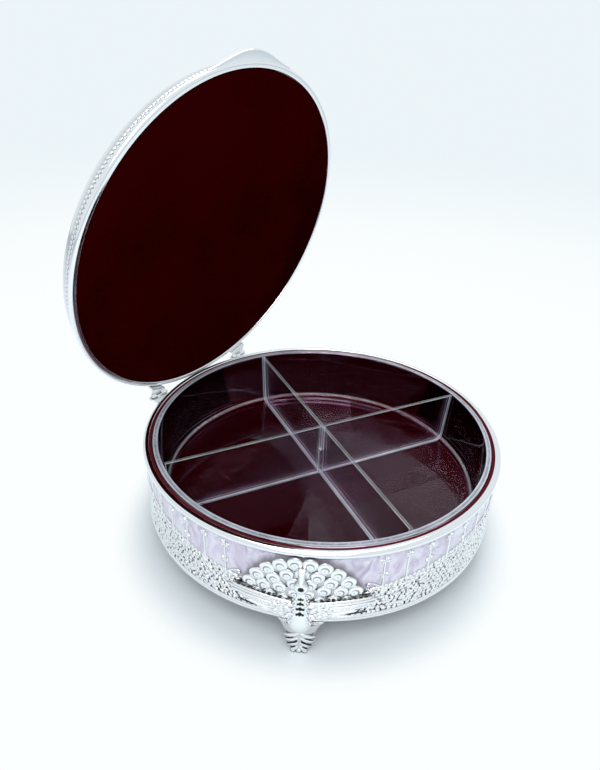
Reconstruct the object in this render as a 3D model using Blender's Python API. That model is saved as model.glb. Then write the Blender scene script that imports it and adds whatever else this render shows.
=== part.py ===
"""Round dried fruit box: silver body on three peacock feet, hinged lid, clear divided tray.

Metres, +Z up. The origin is the centre of the underside. The hinge is at the back, at +Y.
The lid is modelled closed and turned open about its hinge axis.
"""
import math

import bmesh
import bpy
from mathutils import Matrix, Vector

# General sizes
FIT_GAP = 0.0003
CUT_OVERRUN = 0.001
RING_SEGMENTS = 48
BORE_SEGMENTS = 8
HEAD_EDGE_SHARE = 0.7
FLAT_ANGLE = math.radians(1.5)

# Body casting
RIM_INNER_RADIUS = 0.1200
BODY_HEIGHT = 0.0540
BODY_TAPER = 0.0020
WALL_THICKNESS = 0.0013
RIM_BEAD_RADIUS = 0.0021
RIM_BEAD_STEPS = 4
RIM_EDGE_RADIUS = 0.0008
RIM_EDGE_STEPS = 2
BELT_RELIEF = 0.0021
BELT_MEAN_HEIGHT = 0.0280
BELT_WAVE_HEIGHT = 0.0060
LOWER_BEAD_RADIUS = 0.0016
MIDDLE_BEAD_RADIUS = 0.0009
LOWER_BEAD_STEPS = 3
MIDDLE_BEAD_STEPS = 2
LEDGE_WIDTH = 0.0100
LEDGE_THICKNESS = 0.0015
WALL_RADIUS = RIM_INNER_RADIUS + WALL_THICKNESS
SKIRT_RADIUS = WALL_RADIUS - BODY_TAPER - WALL_THICKNESS
LEDGE_INNER_RADIUS = SKIRT_RADIUS - LEDGE_WIDTH
RIM_OUTER_RADIUS = RIM_INNER_RADIUS + 2 * RIM_BEAD_RADIUS
FOOT_COUNT = 3
FIRST_FOOT_ANGLE = math.radians(91)

# Enamel band and the trees that stand before it
ENAMEL_THICKNESS = 0.0009
TREE_WIDTH = 0.0010
TREE_DEPTH = 0.0007
TREE_HEIGHT = 0.0150
TREE_CROWN_WIDTH = 0.0030
TREE_CROWN_SHARE = 0.68
TREE_ROOT = 0.0020
TREES_EACH_SIDE = 6
FIRST_TREE_ANGLE = math.radians(21.8)
TREE_SPACING_ANGLE = math.radians(6.95)

# Floor of the body
BOTTOM_COVER_THICKNESS = 0.0015
BASE_BOARD_THICKNESS = 0.0077
LINER_THICKNESS = 0.0015
LINER_DROP = 0.0003

# Clear tray and its cross divider
TRAY_FLANGE_WIDTH = 0.0034
TRAY_FLANGE_THICKNESS = 0.0022
TRAY_RUNNING_GAP = 0.0005
TRAY_WALL_THICKNESS = 0.0016
TRAY_FLOOR_THICKNESS = 0.0019
TRAY_DRAFT = 0.0040
TRAY_FLOOR_FILLET = 0.0030
TRAY_FILLET_STEPS = 2
DIVIDER_THICKNESS = 0.0023
DIVIDER_END_GAP = 0.0012
DIVIDER_CORNER_RADIUS = 0.0060
DIVIDER_CORNER_STEPS = 4
DIVIDER_ANGLE = math.radians(-27.6)

# Lid
LID_OPEN_ANGLE = math.radians(76)
LID_SIDE_HEIGHT = 0.0115
LID_SIDE_RELIEF = 0.0009
LID_SIDE_TAPER = 0.0015
LID_SHOULDER_RADIUS = 0.0030
LID_SHOULDER_STEPS = 3
LID_RING_WIDTH = 0.0075
LID_SHELL_THICKNESS = 0.0013
LID_DOME_RISE = 0.0090
LID_DOME_STEPS = 3
LINING_THICKNESS = 0.0015
LINING_RECESS = 0.0006
LINING_SHELF_WIDTH = 0.0015

# Lift tab at the front of the lid
TAB_HALF_ANGLE = math.radians(17.5)
TAB_REACH = 0.0065
TAB_END_REACH = 0.0005
TAB_THICKNESS = 0.0020
TAB_RISE = 0.0012
TAB_STEPS = 14

# Hinges
HINGE_AXIS_INSET = 0.0018
HINGE_AXIS_DROP = 0.0025
HINGE_SPREAD = 0.0440
HINGE_LENGTH = 0.0140
KNUCKLE_RADIUS = 0.0018
KNUCKLE_SHARE = 0.32
KNUCKLE_SEGMENTS = 12
PIN_RADIUS = 0.0007
PIN_HEAD_RADIUS = 0.0013
PIN_HEAD_LENGTH = 0.0006
LEAF_THICKNESS = 0.0010
LEAF_REACH = 0.0100
LEAF_STEPS = 4
RIVET_RADIUS = 0.0007
RIVET_HEAD_RADIUS = 0.0014
RIVET_HEAD_HEIGHT = 0.0007
RIVET_SPACING = 0.0075
RIVET_DROP = 0.0075

# Peacock foot
FLOOR_DROP = 0.0235
FAN_BACK_RELIEF = 0.0027
FAN_HALF_WIDTH = 0.0350
FAN_CENTRE_HEIGHT = 0.0125
FAN_START_ANGLE = math.radians(-12)
FAN_STEPS_PER_FEATHER = 3
FEATHER_COUNT = 11
FEATHER_STEP_DEPTH = 0.0007
FEATHER_LOBE_SHARE = 0.07
# Each tier of tail feathers: its reach as a share of the fan, and its count as a share of the outer row's
FAN_TIER_SHARES = ((0.54, 0.55), (0.77, 0.78), (1.00, 1.00))
FAN_HUB_SHARE = 0.27
WING_LENGTH = 0.0430
WING_ROOT = 0.0040
WING_ROOT_HEIGHT = 0.0148
WING_TIP_RISE = 0.0030
WING_HALF_WIDTH = 0.0070
WING_BLUNTNESS = 4
WING_DEPTH = 0.0034
WING_STEPS_PER_FEATHER = 2
WING_FEATHERS = 4
WING_LOBE_SHARE = 0.16
BIRD_HEIGHT = 0.0430
BIRD_LOWEST = -0.0025
BIRD_HALF_WIDTH = 0.0064
BIRD_DEPTH = 0.0080
BIRD_SIDES = 8
# Bird from crest tip to belly: height, half width and depth as shares of its own three sizes
BIRD_STATION_SHARES = (
    (1.00, 0.12, 0.12), (0.94, 0.18, 0.22), (0.87, 0.18, 0.30), (0.83, 0.46, 0.54), (0.76, 0.62, 0.72),
    (0.67, 0.42, 0.54), (0.40, 0.76, 0.82), (0.14, 1.00, 1.00), (0.00, 0.66, 0.70),
)
LEG_SETBACK = 0.0025
LEG_DEPTH = 0.0062
LEG_TOP_HALF_WIDTH = 0.0150
LEG_NECK_HALF_WIDTH = 0.0082
LEG_PAD_HALF_WIDTH = 0.0068
LEG_PAD_DEPTH_SHARE = 0.76
LEG_STEPS = 4
TOE_LENGTH = 0.0035
TOE_RADIUS = 0.0022
TOE_SPACING = 0.0042
TOE_START_SHARE = 0.40
TOE_SPREAD = math.radians(20)
TOE_SIDES = 6
TOE_STEPS = 2
LUG_WIDTH = 0.0120
LUG_THICKNESS = 0.0020
LUG_CLEARANCE = 0.0010
FOOT_SCREW_RADIUS = 0.0013
FOOT_SCREW_HEAD_RADIUS = 0.0026
FOOT_SCREW_HEAD_HEIGHT = 0.0016
FOOT_SCREW_INSET = 0.0032

# Sizes that follow from the ones above
LEG_INNER_RADIUS = WALL_RADIUS - LEG_SETBACK
LUG_INNER_RADIUS = LEDGE_INNER_RADIUS + LUG_CLEARANCE
FOOT_SCREW_PLACE = SKIRT_RADIUS - FOOT_SCREW_INSET
HINGE_AXIS_RADIUS = RIM_OUTER_RADIUS - HINGE_AXIS_INSET
HINGE_AXIS = Vector((0, HINGE_AXIS_RADIUS, BODY_HEIGHT - HINGE_AXIS_DROP))
LID_SEAT_HEIGHT = BODY_HEIGHT + FIT_GAP
BASE_BOARD_HEIGHT = LEDGE_THICKNESS + FIT_GAP
LINER_FLOOR_HEIGHT = BASE_BOARD_HEIGHT + BASE_BOARD_THICKNESS + FIT_GAP
TRAY_HEIGHT = LINER_FLOOR_HEIGHT + LINER_THICKNESS + FIT_GAP
TRAY_FLOOR_HEIGHT = TRAY_HEIGHT + TRAY_FLOOR_THICKNESS
TRAY_OUTER_RADIUS = WALL_RADIUS - WALL_THICKNESS - FIT_GAP - LINER_THICKNESS - TRAY_RUNNING_GAP
TRAY_INNER_RADIUS = TRAY_OUTER_RADIUS - TRAY_FLANGE_WIDTH
RIM_BEAD_BOTTOM = BODY_HEIGHT - 2 * RIM_BEAD_RADIUS
FLOOR_HEIGHT = -FLOOR_DROP


def material(name, colour, roughness, metallic, alpha=1.0):
    made = bpy.data.materials.new(name)
    made.use_nodes = True
    shader = made.node_tree.nodes["Principled BSDF"]
    shader.inputs["Base Color"].default_value = (*colour, 1.0)
    shader.inputs["Roughness"].default_value = roughness
    shader.inputs["Metallic"].default_value = metallic
    shader.inputs["Alpha"].default_value = alpha
    made.diffuse_color = (*colour, alpha)
    return made


def silver(name):
    return material(name, (0.86, 0.87, 0.88), 0.16, 1.0)


def add_object(name, mesh, finish, parent=None, smooth_angle=math.radians(35)):
    mesh.materials.clear()
    mesh.materials.append(finish)
    mesh.shade_smooth()
    mesh.set_sharp_from_angle(angle=smooth_angle)
    made = bpy.data.objects.new(name, mesh)
    bpy.context.scene.collection.objects.link(made)
    made.parent = parent
    return made


def add_empty(name, location, rotation=(0, 0, 0)):
    made = bpy.data.objects.new(name, None)
    made.location = location
    made.rotation_euler = rotation
    bpy.context.scene.collection.objects.link(made)
    return made


def mesh_from(name, build):
    """Fills a bmesh with build, closes it, turns its faces out and makes it a mesh."""
    bm = bmesh.new()
    build(bm)
    bmesh.ops.triangulate(bm, faces=bm.faces)
    bmesh.ops.recalc_face_normals(bm, faces=bm.faces)
    if bm.calc_volume(signed=True) < 0:
        bmesh.ops.reverse_faces(bm, faces=bm.faces)
    mesh = bpy.data.meshes.new(name)
    bm.to_mesh(mesh)
    bm.free()
    return mesh


def guide(name, mesh):
    """An object that only shapes another one."""
    made = bpy.data.objects.new(name, mesh)
    bpy.context.scene.collection.objects.link(made)
    made.hide_render = True
    made.display_type = "WIRE"
    return made


def combine(target, tool, operation):
    modifier = target.modifiers.new(tool.name, "BOOLEAN")
    modifier.object = tool
    modifier.operation = operation
    modifier.solver = "EXACT"


def merge_flat_faces(mesh):
    """Joins neighbouring faces that lie in one plane, and triangulates them again."""
    bm = bmesh.new()
    bm.from_mesh(mesh)
    bmesh.ops.dissolve_limit(bm, angle_limit=FLAT_ANGLE, verts=bm.verts, edges=bm.edges)
    bmesh.ops.triangulate(bm, faces=bm.faces)
    bm.to_mesh(mesh)
    bm.free()


def arc(centre, radius, start, end, steps):
    """Points of an arc in a profile plane, from start to end in radians."""
    turn = (end - start) / steps
    return [
        (centre[0] + radius * math.cos(start + turn * i), centre[1] + radius * math.sin(start + turn * i))
        for i in range(steps + 1)
    ]


def turned_mesh(name, profile_at, segments=RING_SEGMENTS):
    """Turns a closed profile of (radius, height) about Z. profile_at(angle) may change with the angle."""
    def build(bm):
        columns = []
        poles = {}
        for i in range(segments):
            angle = 2 * math.pi * i / segments
            column = []
            for k, (radius, height) in enumerate(profile_at(angle)):
                if radius > 0:
                    place = (radius * math.cos(angle), radius * math.sin(angle), height)
                    column.append(bm.verts.new(place))
                else:
                    if k not in poles:
                        poles[k] = bm.verts.new((0, 0, height))
                    column.append(poles[k])
            columns.append(column)
        count = len(columns[0])
        for i in range(segments):
            here = columns[i]
            after = columns[(i + 1) % segments]
            for k in range(count):
                corners = []
                for vert in (here[k], after[k], after[(k + 1) % count], here[(k + 1) % count]):
                    if vert not in corners:
                        corners.append(vert)
                if len(corners) > 2:
                    bm.faces.new(corners)
    return mesh_from(name, build)


def turned(name, profile, finish, parent=None, offset=None, segments=RING_SEGMENTS):
    profile_at = profile if callable(profile) else lambda angle: profile
    mesh = turned_mesh(name, profile_at, segments)
    if offset is not None:
        mesh.transform(Matrix.Translation(offset))
    return add_object(name, mesh, finish, parent)


def loft_mesh(name, sections):
    """Skins a row of closed sections with equal point counts and caps both ends."""
    def build(bm):
        rings = [[bm.verts.new(point) for point in section] for section in sections]
        for ring, following in zip(rings, rings[1:]):
            count = len(ring)
            for k in range(count):
                bm.faces.new((ring[k], ring[(k + 1) % count], following[(k + 1) % count], following[k]))
        bm.faces.new(rings[0])
        bm.faces.new(rings[-1])
    return mesh_from(name, build)


def rod_mesh(name, stations, sides=BORE_SEGMENTS):
    """A round rod along Z through stations of (radius, height)."""
    sections = []
    for radius, height in stations:
        turn = 2 * math.pi / sides
        sections.append([
            (radius * math.cos(turn * k), radius * math.sin(turn * k), height) for k in range(sides)
        ])
    return loft_mesh(name, sections)


def plate_mesh(name, outline, thickness):
    """A flat outline of (x, z) made solid about the plane y = 0."""
    half = thickness / 2
    front = [(x, -half, z) for x, z in outline]
    back = [(x, half, z) for x, z in outline]
    return loft_mesh(name, (front, back))


def box_mesh(name, low, high):
    corners = [(low[0], low[2]), (high[0], low[2]), (high[0], high[2]), (low[0], high[2])]
    front = [(x, low[1], z) for x, z in corners]
    back = [(x, high[1], z) for x, z in corners]
    return loft_mesh(name, (front, back))


def joined_mesh(name, meshes):
    """Puts separate closed shells in one mesh."""
    def build(bm):
        for mesh in meshes:
            bm.from_mesh(mesh)
    return mesh_from(name, build)


# Body


def wall_radius(height):
    """Outer radius of the casting's wall behind the enamel."""
    return WALL_RADIUS - BODY_TAPER * (1 - height / BODY_HEIGHT)


def belt_top(angle):
    """Upper edge of the scale belt, low at each foot and high between the feet."""
    return BELT_MEAN_HEIGHT - BELT_WAVE_HEIGHT * math.cos(FOOT_COUNT * (angle - FIRST_FOOT_ANGLE))


def body_profile(angle):
    rim_centre = (RIM_INNER_RADIUS + RIM_BEAD_RADIUS, BODY_HEIGHT - RIM_BEAD_RADIUS)
    lower_centre = (wall_radius(0) + BELT_RELIEF - LOWER_BEAD_RADIUS, LOWER_BEAD_RADIUS)
    middle_height = 2 * LOWER_BEAD_RADIUS + MIDDLE_BEAD_RADIUS
    middle_centre = (wall_radius(middle_height) + BELT_RELIEF - MIDDLE_BEAD_RADIUS / 2, middle_height)
    belt_start = middle_height + MIDDLE_BEAD_RADIUS
    edge_centre = (RIM_INNER_RADIUS + RIM_EDGE_RADIUS, BODY_HEIGHT - RIM_EDGE_RADIUS)
    edge = belt_top(angle)
    bead_foot = RIM_BEAD_BOTTOM
    points = [(LEDGE_INNER_RADIUS, 0)]
    points += arc(lower_centre, LOWER_BEAD_RADIUS, -math.pi / 2, math.pi / 2, LOWER_BEAD_STEPS)
    points += arc(middle_centre, MIDDLE_BEAD_RADIUS, -math.pi / 3, math.pi / 3, MIDDLE_BEAD_STEPS)
    points.append((wall_radius(belt_start) + BELT_RELIEF, belt_start))
    points.append((wall_radius(edge) + BELT_RELIEF, edge))
    points.append((wall_radius(edge), edge))
    points.append((wall_radius(bead_foot), bead_foot))
    points += arc(rim_centre, RIM_BEAD_RADIUS, -math.pi / 2, math.pi / 2, RIM_BEAD_STEPS)
    points += arc(edge_centre, RIM_EDGE_RADIUS, math.pi / 2, math.pi, RIM_EDGE_STEPS)
    points.append((wall_radius(LEDGE_THICKNESS) - WALL_THICKNESS, LEDGE_THICKNESS))
    points.append((LEDGE_INNER_RADIUS, LEDGE_THICKNESS))
    return points


def tree_angles():
    """Directions of all the trees, the same on both sides of each foot."""
    angles = []
    for foot in range(FOOT_COUNT):
        for side in (-1, 1):
            for k in range(TREES_EACH_SIDE):
                turn = side * (FIRST_TREE_ANGLE + TREE_SPACING_ANGLE * k)
                angles.append(FIRST_FOOT_ANGLE + 2 * math.pi * foot / FOOT_COUNT + turn)
    return angles


def tree_mesh(name, angle):
    """One slender tree with a pointed crown, rooted in the belt and clear of the enamel."""
    root = belt_top(angle) - TREE_ROOT
    top = min(belt_top(angle) + TREE_HEIGHT, RIM_BEAD_BOTTOM - FIT_GAP)
    crown = root + (top - root) * TREE_CROWN_SHARE
    half = TREE_WIDTH / 2
    wide = TREE_CROWN_WIDTH / 2
    outline = [(-half, root), (half, root), (wide, crown), (0, top), (-wide, crown)]
    inner = ENAMEL_THICKNESS + 2 * FIT_GAP
    sections = []
    for depth in (inner, inner + TREE_DEPTH):
        sections.append([(-(wall_radius(z) + depth), x, z) for x, z in outline])
    mesh = loft_mesh(name, sections)
    mesh.transform(Matrix.Rotation(angle + math.pi, 4, "Z"))
    return mesh


def radial_rod(name, angle, height, inner, outer, radius):
    """A round cutter that runs outwards from the axis at a height."""
    mesh = rod_mesh(name, ((radius, inner), (radius, outer)))
    mesh.transform(Matrix.Rotation(math.pi / 2, 4, "Y"))
    mesh.transform(Matrix.Translation((0, 0, height)))
    mesh.transform(Matrix.Rotation(angle, 4, "Z"))
    return mesh


def hinge_angle(side):
    """Direction from the box's axis to a hinge: side is -1 or 1 along X."""
    return math.pi / 2 - side * math.asin(HINGE_SPREAD / RIM_OUTER_RADIUS)


def rivet_angles():
    half_turn = RIVET_SPACING / 2 / RIM_OUTER_RADIUS
    return [
        (side, along, hinge_angle(side) + along * half_turn) for side in (-1, 1) for along in (-1, 1)
    ]


def rivet_holes(name, height):
    """Cutters for the rivets of both hinges, through wall, enamel and leaf."""
    outer = RIM_OUTER_RADIUS + FIT_GAP + LEAF_THICKNESS + CUT_OVERRUN
    inner = RIM_INNER_RADIUS - BODY_TAPER - CUT_OVERRUN
    rods = [
        radial_rod(f"{name}_{i}", angle, height, inner, outer, RIVET_RADIUS + FIT_GAP)
        for i, (_, _, angle) in enumerate(rivet_angles())
    ]
    return joined_mesh(name, rods)


def foot_angles():
    return [FIRST_FOOT_ANGLE + 2 * math.pi * k / FOOT_COUNT for k in range(FOOT_COUNT)]


def screw_holes(name, top):
    """Cutters for the foot screws, up to a height."""
    rods = []
    low = -LUG_THICKNESS - 2 * CUT_OVERRUN
    for k, angle in enumerate(foot_angles()):
        radius = FOOT_SCREW_RADIUS + FIT_GAP
        place = (FOOT_SCREW_PLACE * math.cos(angle), FOOT_SCREW_PLACE * math.sin(angle), 0)
        mesh = rod_mesh(f"{name}_{k}", ((radius, low), (radius, top)))
        mesh.transform(Matrix.Translation(place))
        rods.append(mesh)
    return joined_mesh(name, rods)


def make_body():
    shell = turned("body_shell", body_profile, silver("body_silver"))
    trees = [tree_mesh(f"tree_{k}", angle) for k, angle in enumerate(tree_angles())]
    combine(shell, guide("tree_guide", joined_mesh("tree_guide", trees)), "UNION")
    rivet_height = BODY_HEIGHT - RIVET_DROP
    holes = guide("body_rivet_cutter", rivet_holes("body_rivet_cutter", rivet_height))
    combine(shell, holes, "DIFFERENCE")
    ledge_cut = screw_holes("ledge_cutter", LEDGE_THICKNESS + CUT_OVERRUN)
    combine(shell, guide("ledge_cutter", ledge_cut), "DIFFERENCE")

    def enamel_profile(angle):
        low = belt_top(angle) + FIT_GAP
        high = RIM_BEAD_BOTTOM - FIT_GAP
        back = FIT_GAP
        front = FIT_GAP + ENAMEL_THICKNESS
        return [
            (wall_radius(low) + back, low), (wall_radius(low) + front, low),
            (wall_radius(high) + front, high), (wall_radius(high) + back, high),
        ]
    pearl = material("lilac_enamel", (0.60, 0.55, 0.66), 0.22, 0.0)
    band = turned("enamel_band", enamel_profile, pearl)
    combine(band, holes, "DIFFERENCE")

    cover_radius = LEDGE_INNER_RADIUS - FIT_GAP
    cover_top = BOTTOM_COVER_THICKNESS
    cover_profile = [(0, 0), (cover_radius, 0), (cover_radius, cover_top), (0, cover_top)]
    turned("bottom_cover", cover_profile, material("cover_cloth", (0.05, 0.01, 0.015), 0.9, 0.0))

    board_top = BASE_BOARD_HEIGHT + BASE_BOARD_THICKNESS
    board_radius = wall_radius(BASE_BOARD_HEIGHT) - WALL_THICKNESS - FIT_GAP
    board_low = BASE_BOARD_HEIGHT
    board_profile = [(0, board_low), (board_radius, board_low), (board_radius, board_top), (0, board_top)]
    board = turned("base_board", board_profile, material("board_wood", (0.38, 0.25, 0.15), 0.8, 0.0))
    board_cut = screw_holes("board_cutter", board_top - CUT_OVERRUN)
    combine(board, guide("board_cutter", board_cut), "DIFFERENCE")

    liner_top = BODY_HEIGHT - LINER_DROP
    floor_top = LINER_FLOOR_HEIGHT + LINER_THICKNESS
    back = WALL_THICKNESS + FIT_GAP
    front = back + LINER_THICKNESS
    liner_profile = [
        (0, LINER_FLOOR_HEIGHT), (wall_radius(LINER_FLOOR_HEIGHT) - back, LINER_FLOOR_HEIGHT),
        (wall_radius(liner_top) - back, liner_top), (wall_radius(liner_top) - front, liner_top),
        (wall_radius(floor_top) - front, floor_top), (0, floor_top),
    ]
    turned("velvet_liner", liner_profile, material("liner_velvet", (0.10, 0.004, 0.008), 0.85, 0.0))


# Peacock feet


def on_wall(across, out, height):
    """A point across and out from the wall, at the front of the box."""
    angle = across / WALL_RADIUS
    radius = wall_radius(height) + out
    return Vector((radius * math.sin(angle), -radius * math.cos(angle), height))


def fan_reach(angle, tier_share, feather_share):
    """Edge of one tier of tail feathers, in the fan's own flat plane, as (across, height)."""
    span = math.pi - 2 * FAN_START_ANGLE
    feathers = max(1, round(FEATHER_COUNT * feather_share))
    lobe = abs(math.sin(math.pi * feathers * (angle - FAN_START_ANGLE) / span))
    reach = tier_share * (1 - FEATHER_LOBE_SHARE + FEATHER_LOBE_SHARE * lobe)
    fan_height = RIM_BEAD_BOTTOM - FIT_GAP - FAN_CENTRE_HEIGHT
    across = reach * FAN_HALF_WIDTH * math.cos(angle)
    return across, FAN_CENTRE_HEIGHT + reach * fan_height * math.sin(angle)


def fan_mesh(name):
    """The spread tail: three tiers of scalloped feather ends that step towards the wall."""
    columns = FEATHER_COUNT * FAN_STEPS_PER_FEATHER
    span = math.pi - 2 * FAN_START_ANGLE
    tiers = len(FAN_TIER_SHARES)
    deepest = FAN_BACK_RELIEF + FEATHER_STEP_DEPTH * (tiers + 1)

    def build(bm):
        front_hub = bm.verts.new(on_wall(0, deepest, FAN_CENTRE_HEIGHT))
        back_hub = bm.verts.new(on_wall(0, FAN_BACK_RELIEF, FAN_CENTRE_HEIGHT))
        fronts = []
        backs = []
        for i in range(columns + 1):
            angle = FAN_START_ANGLE + span * i / columns
            across, height = fan_reach(angle, FAN_HUB_SHARE, FAN_TIER_SHARES[0][1])
            front = [bm.verts.new(on_wall(across, deepest, height))]
            back = [bm.verts.new(on_wall(across, FAN_BACK_RELIEF, height))]
            for k, (tier_share, feather_share) in enumerate(FAN_TIER_SHARES):
                across, height = fan_reach(angle, tier_share, feather_share)
                out = deepest - FEATHER_STEP_DEPTH * k
                front.append(bm.verts.new(on_wall(across, out, height)))
                if k < tiers - 1:
                    front.append(bm.verts.new(on_wall(across, out - FEATHER_STEP_DEPTH, height)))
                back.append(bm.verts.new(on_wall(across, FAN_BACK_RELIEF, height)))
            fronts.append(front)
            backs.append(back)
        for i in range(columns):
            bm.faces.new((front_hub, fronts[i][0], fronts[i + 1][0]))
            bm.faces.new((back_hub, backs[i + 1][0], backs[i][0]))
            for k in range(len(fronts[i]) - 1):
                bm.faces.new((fronts[i][k], fronts[i][k + 1], fronts[i + 1][k + 1], fronts[i + 1][k]))
            for k in range(len(backs[i]) - 1):
                bm.faces.new((backs[i][k + 1], backs[i][k], backs[i + 1][k], backs[i + 1][k + 1]))
            bm.faces.new((fronts[i][-1], backs[i][-1], backs[i + 1][-1], fronts[i + 1][-1]))
        for front, back in ((fronts[0], backs[0]), (fronts[-1], backs[-1])):
            bm.faces.new((front_hub, back_hub, back[0], front[0]))
            for k in range(tiers):
                start = front[2 * k]
                edge = front[2 * k + 1]
                if k < tiers - 1:
                    bm.faces.new((start, edge, front[2 * k + 2]))
                    edge = front[2 * k + 2]
                bm.faces.new((start, edge, back[k + 1], back[k]))
    return mesh_from(name, build)


def wing_mesh(name, side):
    """One wing: a crowned blade with a feathered lower edge, swept up to its tip."""
    sections = []
    stations = WING_STEPS_PER_FEATHER * WING_FEATHERS
    for i in range(stations + 1):
        share = i / stations
        across = WING_ROOT + (WING_LENGTH - WING_ROOT) * share
        centre = WING_ROOT_HEIGHT + WING_TIP_RISE * share * share
        half = WING_HALF_WIDTH * math.sqrt(max(1 - share ** WING_BLUNTNESS, WING_LOBE_SHARE))
        lobe = abs(math.sin(math.pi * WING_FEATHERS * share))
        low = centre - half * (1 - WING_LOBE_SHARE + WING_LOBE_SHARE * lobe)
        high = centre + half
        crown = FAN_BACK_RELIEF + WING_DEPTH * (1 - share / 2)
        edge = FAN_BACK_RELIEF + FEATHER_STEP_DEPTH * 2
        points = [
            (low, FAN_BACK_RELIEF), (low, edge), (centre, crown), (high, edge), (high, FAN_BACK_RELIEF),
        ]
        sections.append([on_wall(side * across, out, height) for height, out in points])
    return loft_mesh(name, sections)


def bird_mesh(name):
    """Crest, head, neck, breast and belly in one swelling form before the wall."""
    sections = []
    for height_share, width_share, depth_share in BIRD_STATION_SHARES:
        height = BIRD_LOWEST + (BIRD_HEIGHT - BIRD_LOWEST) * height_share
        half = BIRD_HALF_WIDTH * width_share
        depth = BIRD_DEPTH * depth_share
        section = []
        for k in range(BIRD_SIDES):
            turn = 2 * math.pi * (k + 0.5) / BIRD_SIDES
            out = FAN_BACK_RELIEF + FIT_GAP + depth * (1 + math.cos(turn)) / 2
            section.append(on_wall(half * math.sin(turn), out, height))
        sections.append(section)
    return loft_mesh(name, sections)


def leg_mesh(name):
    """The apron under the body's edge, drawn in to a leg that ends in a flat pad."""
    sections = []
    top = -FIT_GAP
    for i in range(LEG_STEPS + 1):
        share = i / LEG_STEPS
        height = top + (FLOOR_HEIGHT - top) * share
        flare = (1 - share) * (1 - share) * (1 - share)
        pad = share * share
        half = LEG_NECK_HALF_WIDTH + (LEG_TOP_HALF_WIDTH - LEG_NECK_HALF_WIDTH) * flare
        half += (LEG_PAD_HALF_WIDTH - LEG_NECK_HALF_WIDTH) * pad
        depth = LEG_DEPTH * (1 - (1 - LEG_PAD_DEPTH_SHARE) * pad)
        section = []
        for k in range(BIRD_SIDES):
            turn = 2 * math.pi * (k + 0.5) / BIRD_SIDES
            across = half * math.sin(turn)
            out = LEG_INNER_RADIUS + depth * (1 + math.cos(turn)) / 2
            section.append(Vector((across, -math.sqrt(out * out - across * across), height)))
        sections.append(section)
    return loft_mesh(name, sections)


def toe_mesh(name, place, lift):
    """One toe that points away from the box, lifted a little off the floor: place is -1, 0 or 1 across."""
    sections = []
    turn_out = place * TOE_SPREAD
    start_out = LEG_INNER_RADIUS + LEG_DEPTH * TOE_START_SHARE
    start = Vector((place * TOE_SPACING, -start_out, FLOOR_HEIGHT + TOE_RADIUS))
    ahead = Vector((math.sin(turn_out), -math.cos(turn_out), 0))
    side = Vector((math.cos(turn_out), math.sin(turn_out), 0))
    for i in range(TOE_STEPS + 1):
        share = i / TOE_STEPS
        radius = TOE_RADIUS * (1 - share * share / 2)
        centre = start + ahead * (TOE_LENGTH * share)
        section = []
        for k in range(TOE_SIDES):
            turn = 2 * math.pi * (k + 0.5) / TOE_SIDES
            point = centre + side * (radius * math.cos(turn)) + Vector((0, 0, radius * math.sin(turn)))
            point.z = max(point.z, FLOOR_HEIGHT + lift)
            section.append(point)
        sections.append(section)
    return loft_mesh(name, sections)


def make_feet():
    low = (-LUG_WIDTH / 2, -LEG_INNER_RADIUS - LEG_DEPTH / 4, -FIT_GAP - LUG_THICKNESS)
    high = (LUG_WIDTH / 2, -LUG_INNER_RADIUS, -FIT_GAP)
    lug = box_mesh("foot_lug", low, high)
    tools = [
        guide("bird_guide", bird_mesh("bird_guide")),
        guide("left_wing_guide", wing_mesh("left_wing_guide", -1)),
        guide("right_wing_guide", wing_mesh("right_wing_guide", 1)),
        guide("leg_guide", leg_mesh("leg_guide")),
        guide("lug_guide", lug),
    ]
    for k, place in enumerate((-1, 0, 1)):
        lift = FIT_GAP * (k + 1)
        tools.append(guide(f"toe_guide_{k}", toe_mesh(f"toe_guide_{k}", place, lift)))
    hole = rod_mesh("lug_cutter", (
        (FOOT_SCREW_RADIUS + FIT_GAP, -LUG_THICKNESS - FIT_GAP - CUT_OVERRUN),
        (FOOT_SCREW_RADIUS + FIT_GAP, CUT_OVERRUN),
    ))
    hole.transform(Matrix.Translation((0, -FOOT_SCREW_PLACE, 0)))
    hole_guide = guide("lug_cutter", hole)
    source = add_object("foot_source", fan_mesh("foot_source"), silver("foot_silver"))
    for tool in tools:
        combine(source, tool, "UNION")
    combine(source, hole_guide, "DIFFERENCE")
    view = bpy.context.evaluated_depsgraph_get()
    foot = bpy.data.meshes.new_from_object(source.evaluated_get(view))
    merge_flat_faces(foot)
    bpy.data.objects.remove(source)
    for tool in tools + [hole_guide]:
        bpy.data.objects.remove(tool)

    head_top = -FIT_GAP - LUG_THICKNESS - FIT_GAP
    head_low = head_top - FOOT_SCREW_HEAD_HEIGHT
    head_middle = (head_low + head_top) / 2
    shank_top = BASE_BOARD_HEIGHT + BASE_BOARD_THICKNESS - CUT_OVERRUN - FIT_GAP
    screw = rod_mesh("foot_screw", (
        (FOOT_SCREW_HEAD_RADIUS * HEAD_EDGE_SHARE, head_low), (FOOT_SCREW_HEAD_RADIUS, head_middle),
        (FOOT_SCREW_HEAD_RADIUS, head_top), (FOOT_SCREW_RADIUS, head_top), (FOOT_SCREW_RADIUS, shank_top),
    ))
    names = ("back", "left", "right")
    for name, angle in zip(names, foot_angles()):
        part = add_object(f"peacock_foot_{name}", foot.copy(), silver(f"foot_silver_{name}"))
        part.rotation_euler = (0, 0, angle + math.pi / 2)
        steel = material(f"screw_steel_{name}", (0.6, 0.6, 0.62), 0.35, 1.0)
        bolt = add_object(f"foot_screw_{name}", screw.copy(), steel)
        bolt.location = (FOOT_SCREW_PLACE * math.cos(angle), FOOT_SCREW_PLACE * math.sin(angle), 0)


# Tray


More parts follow.
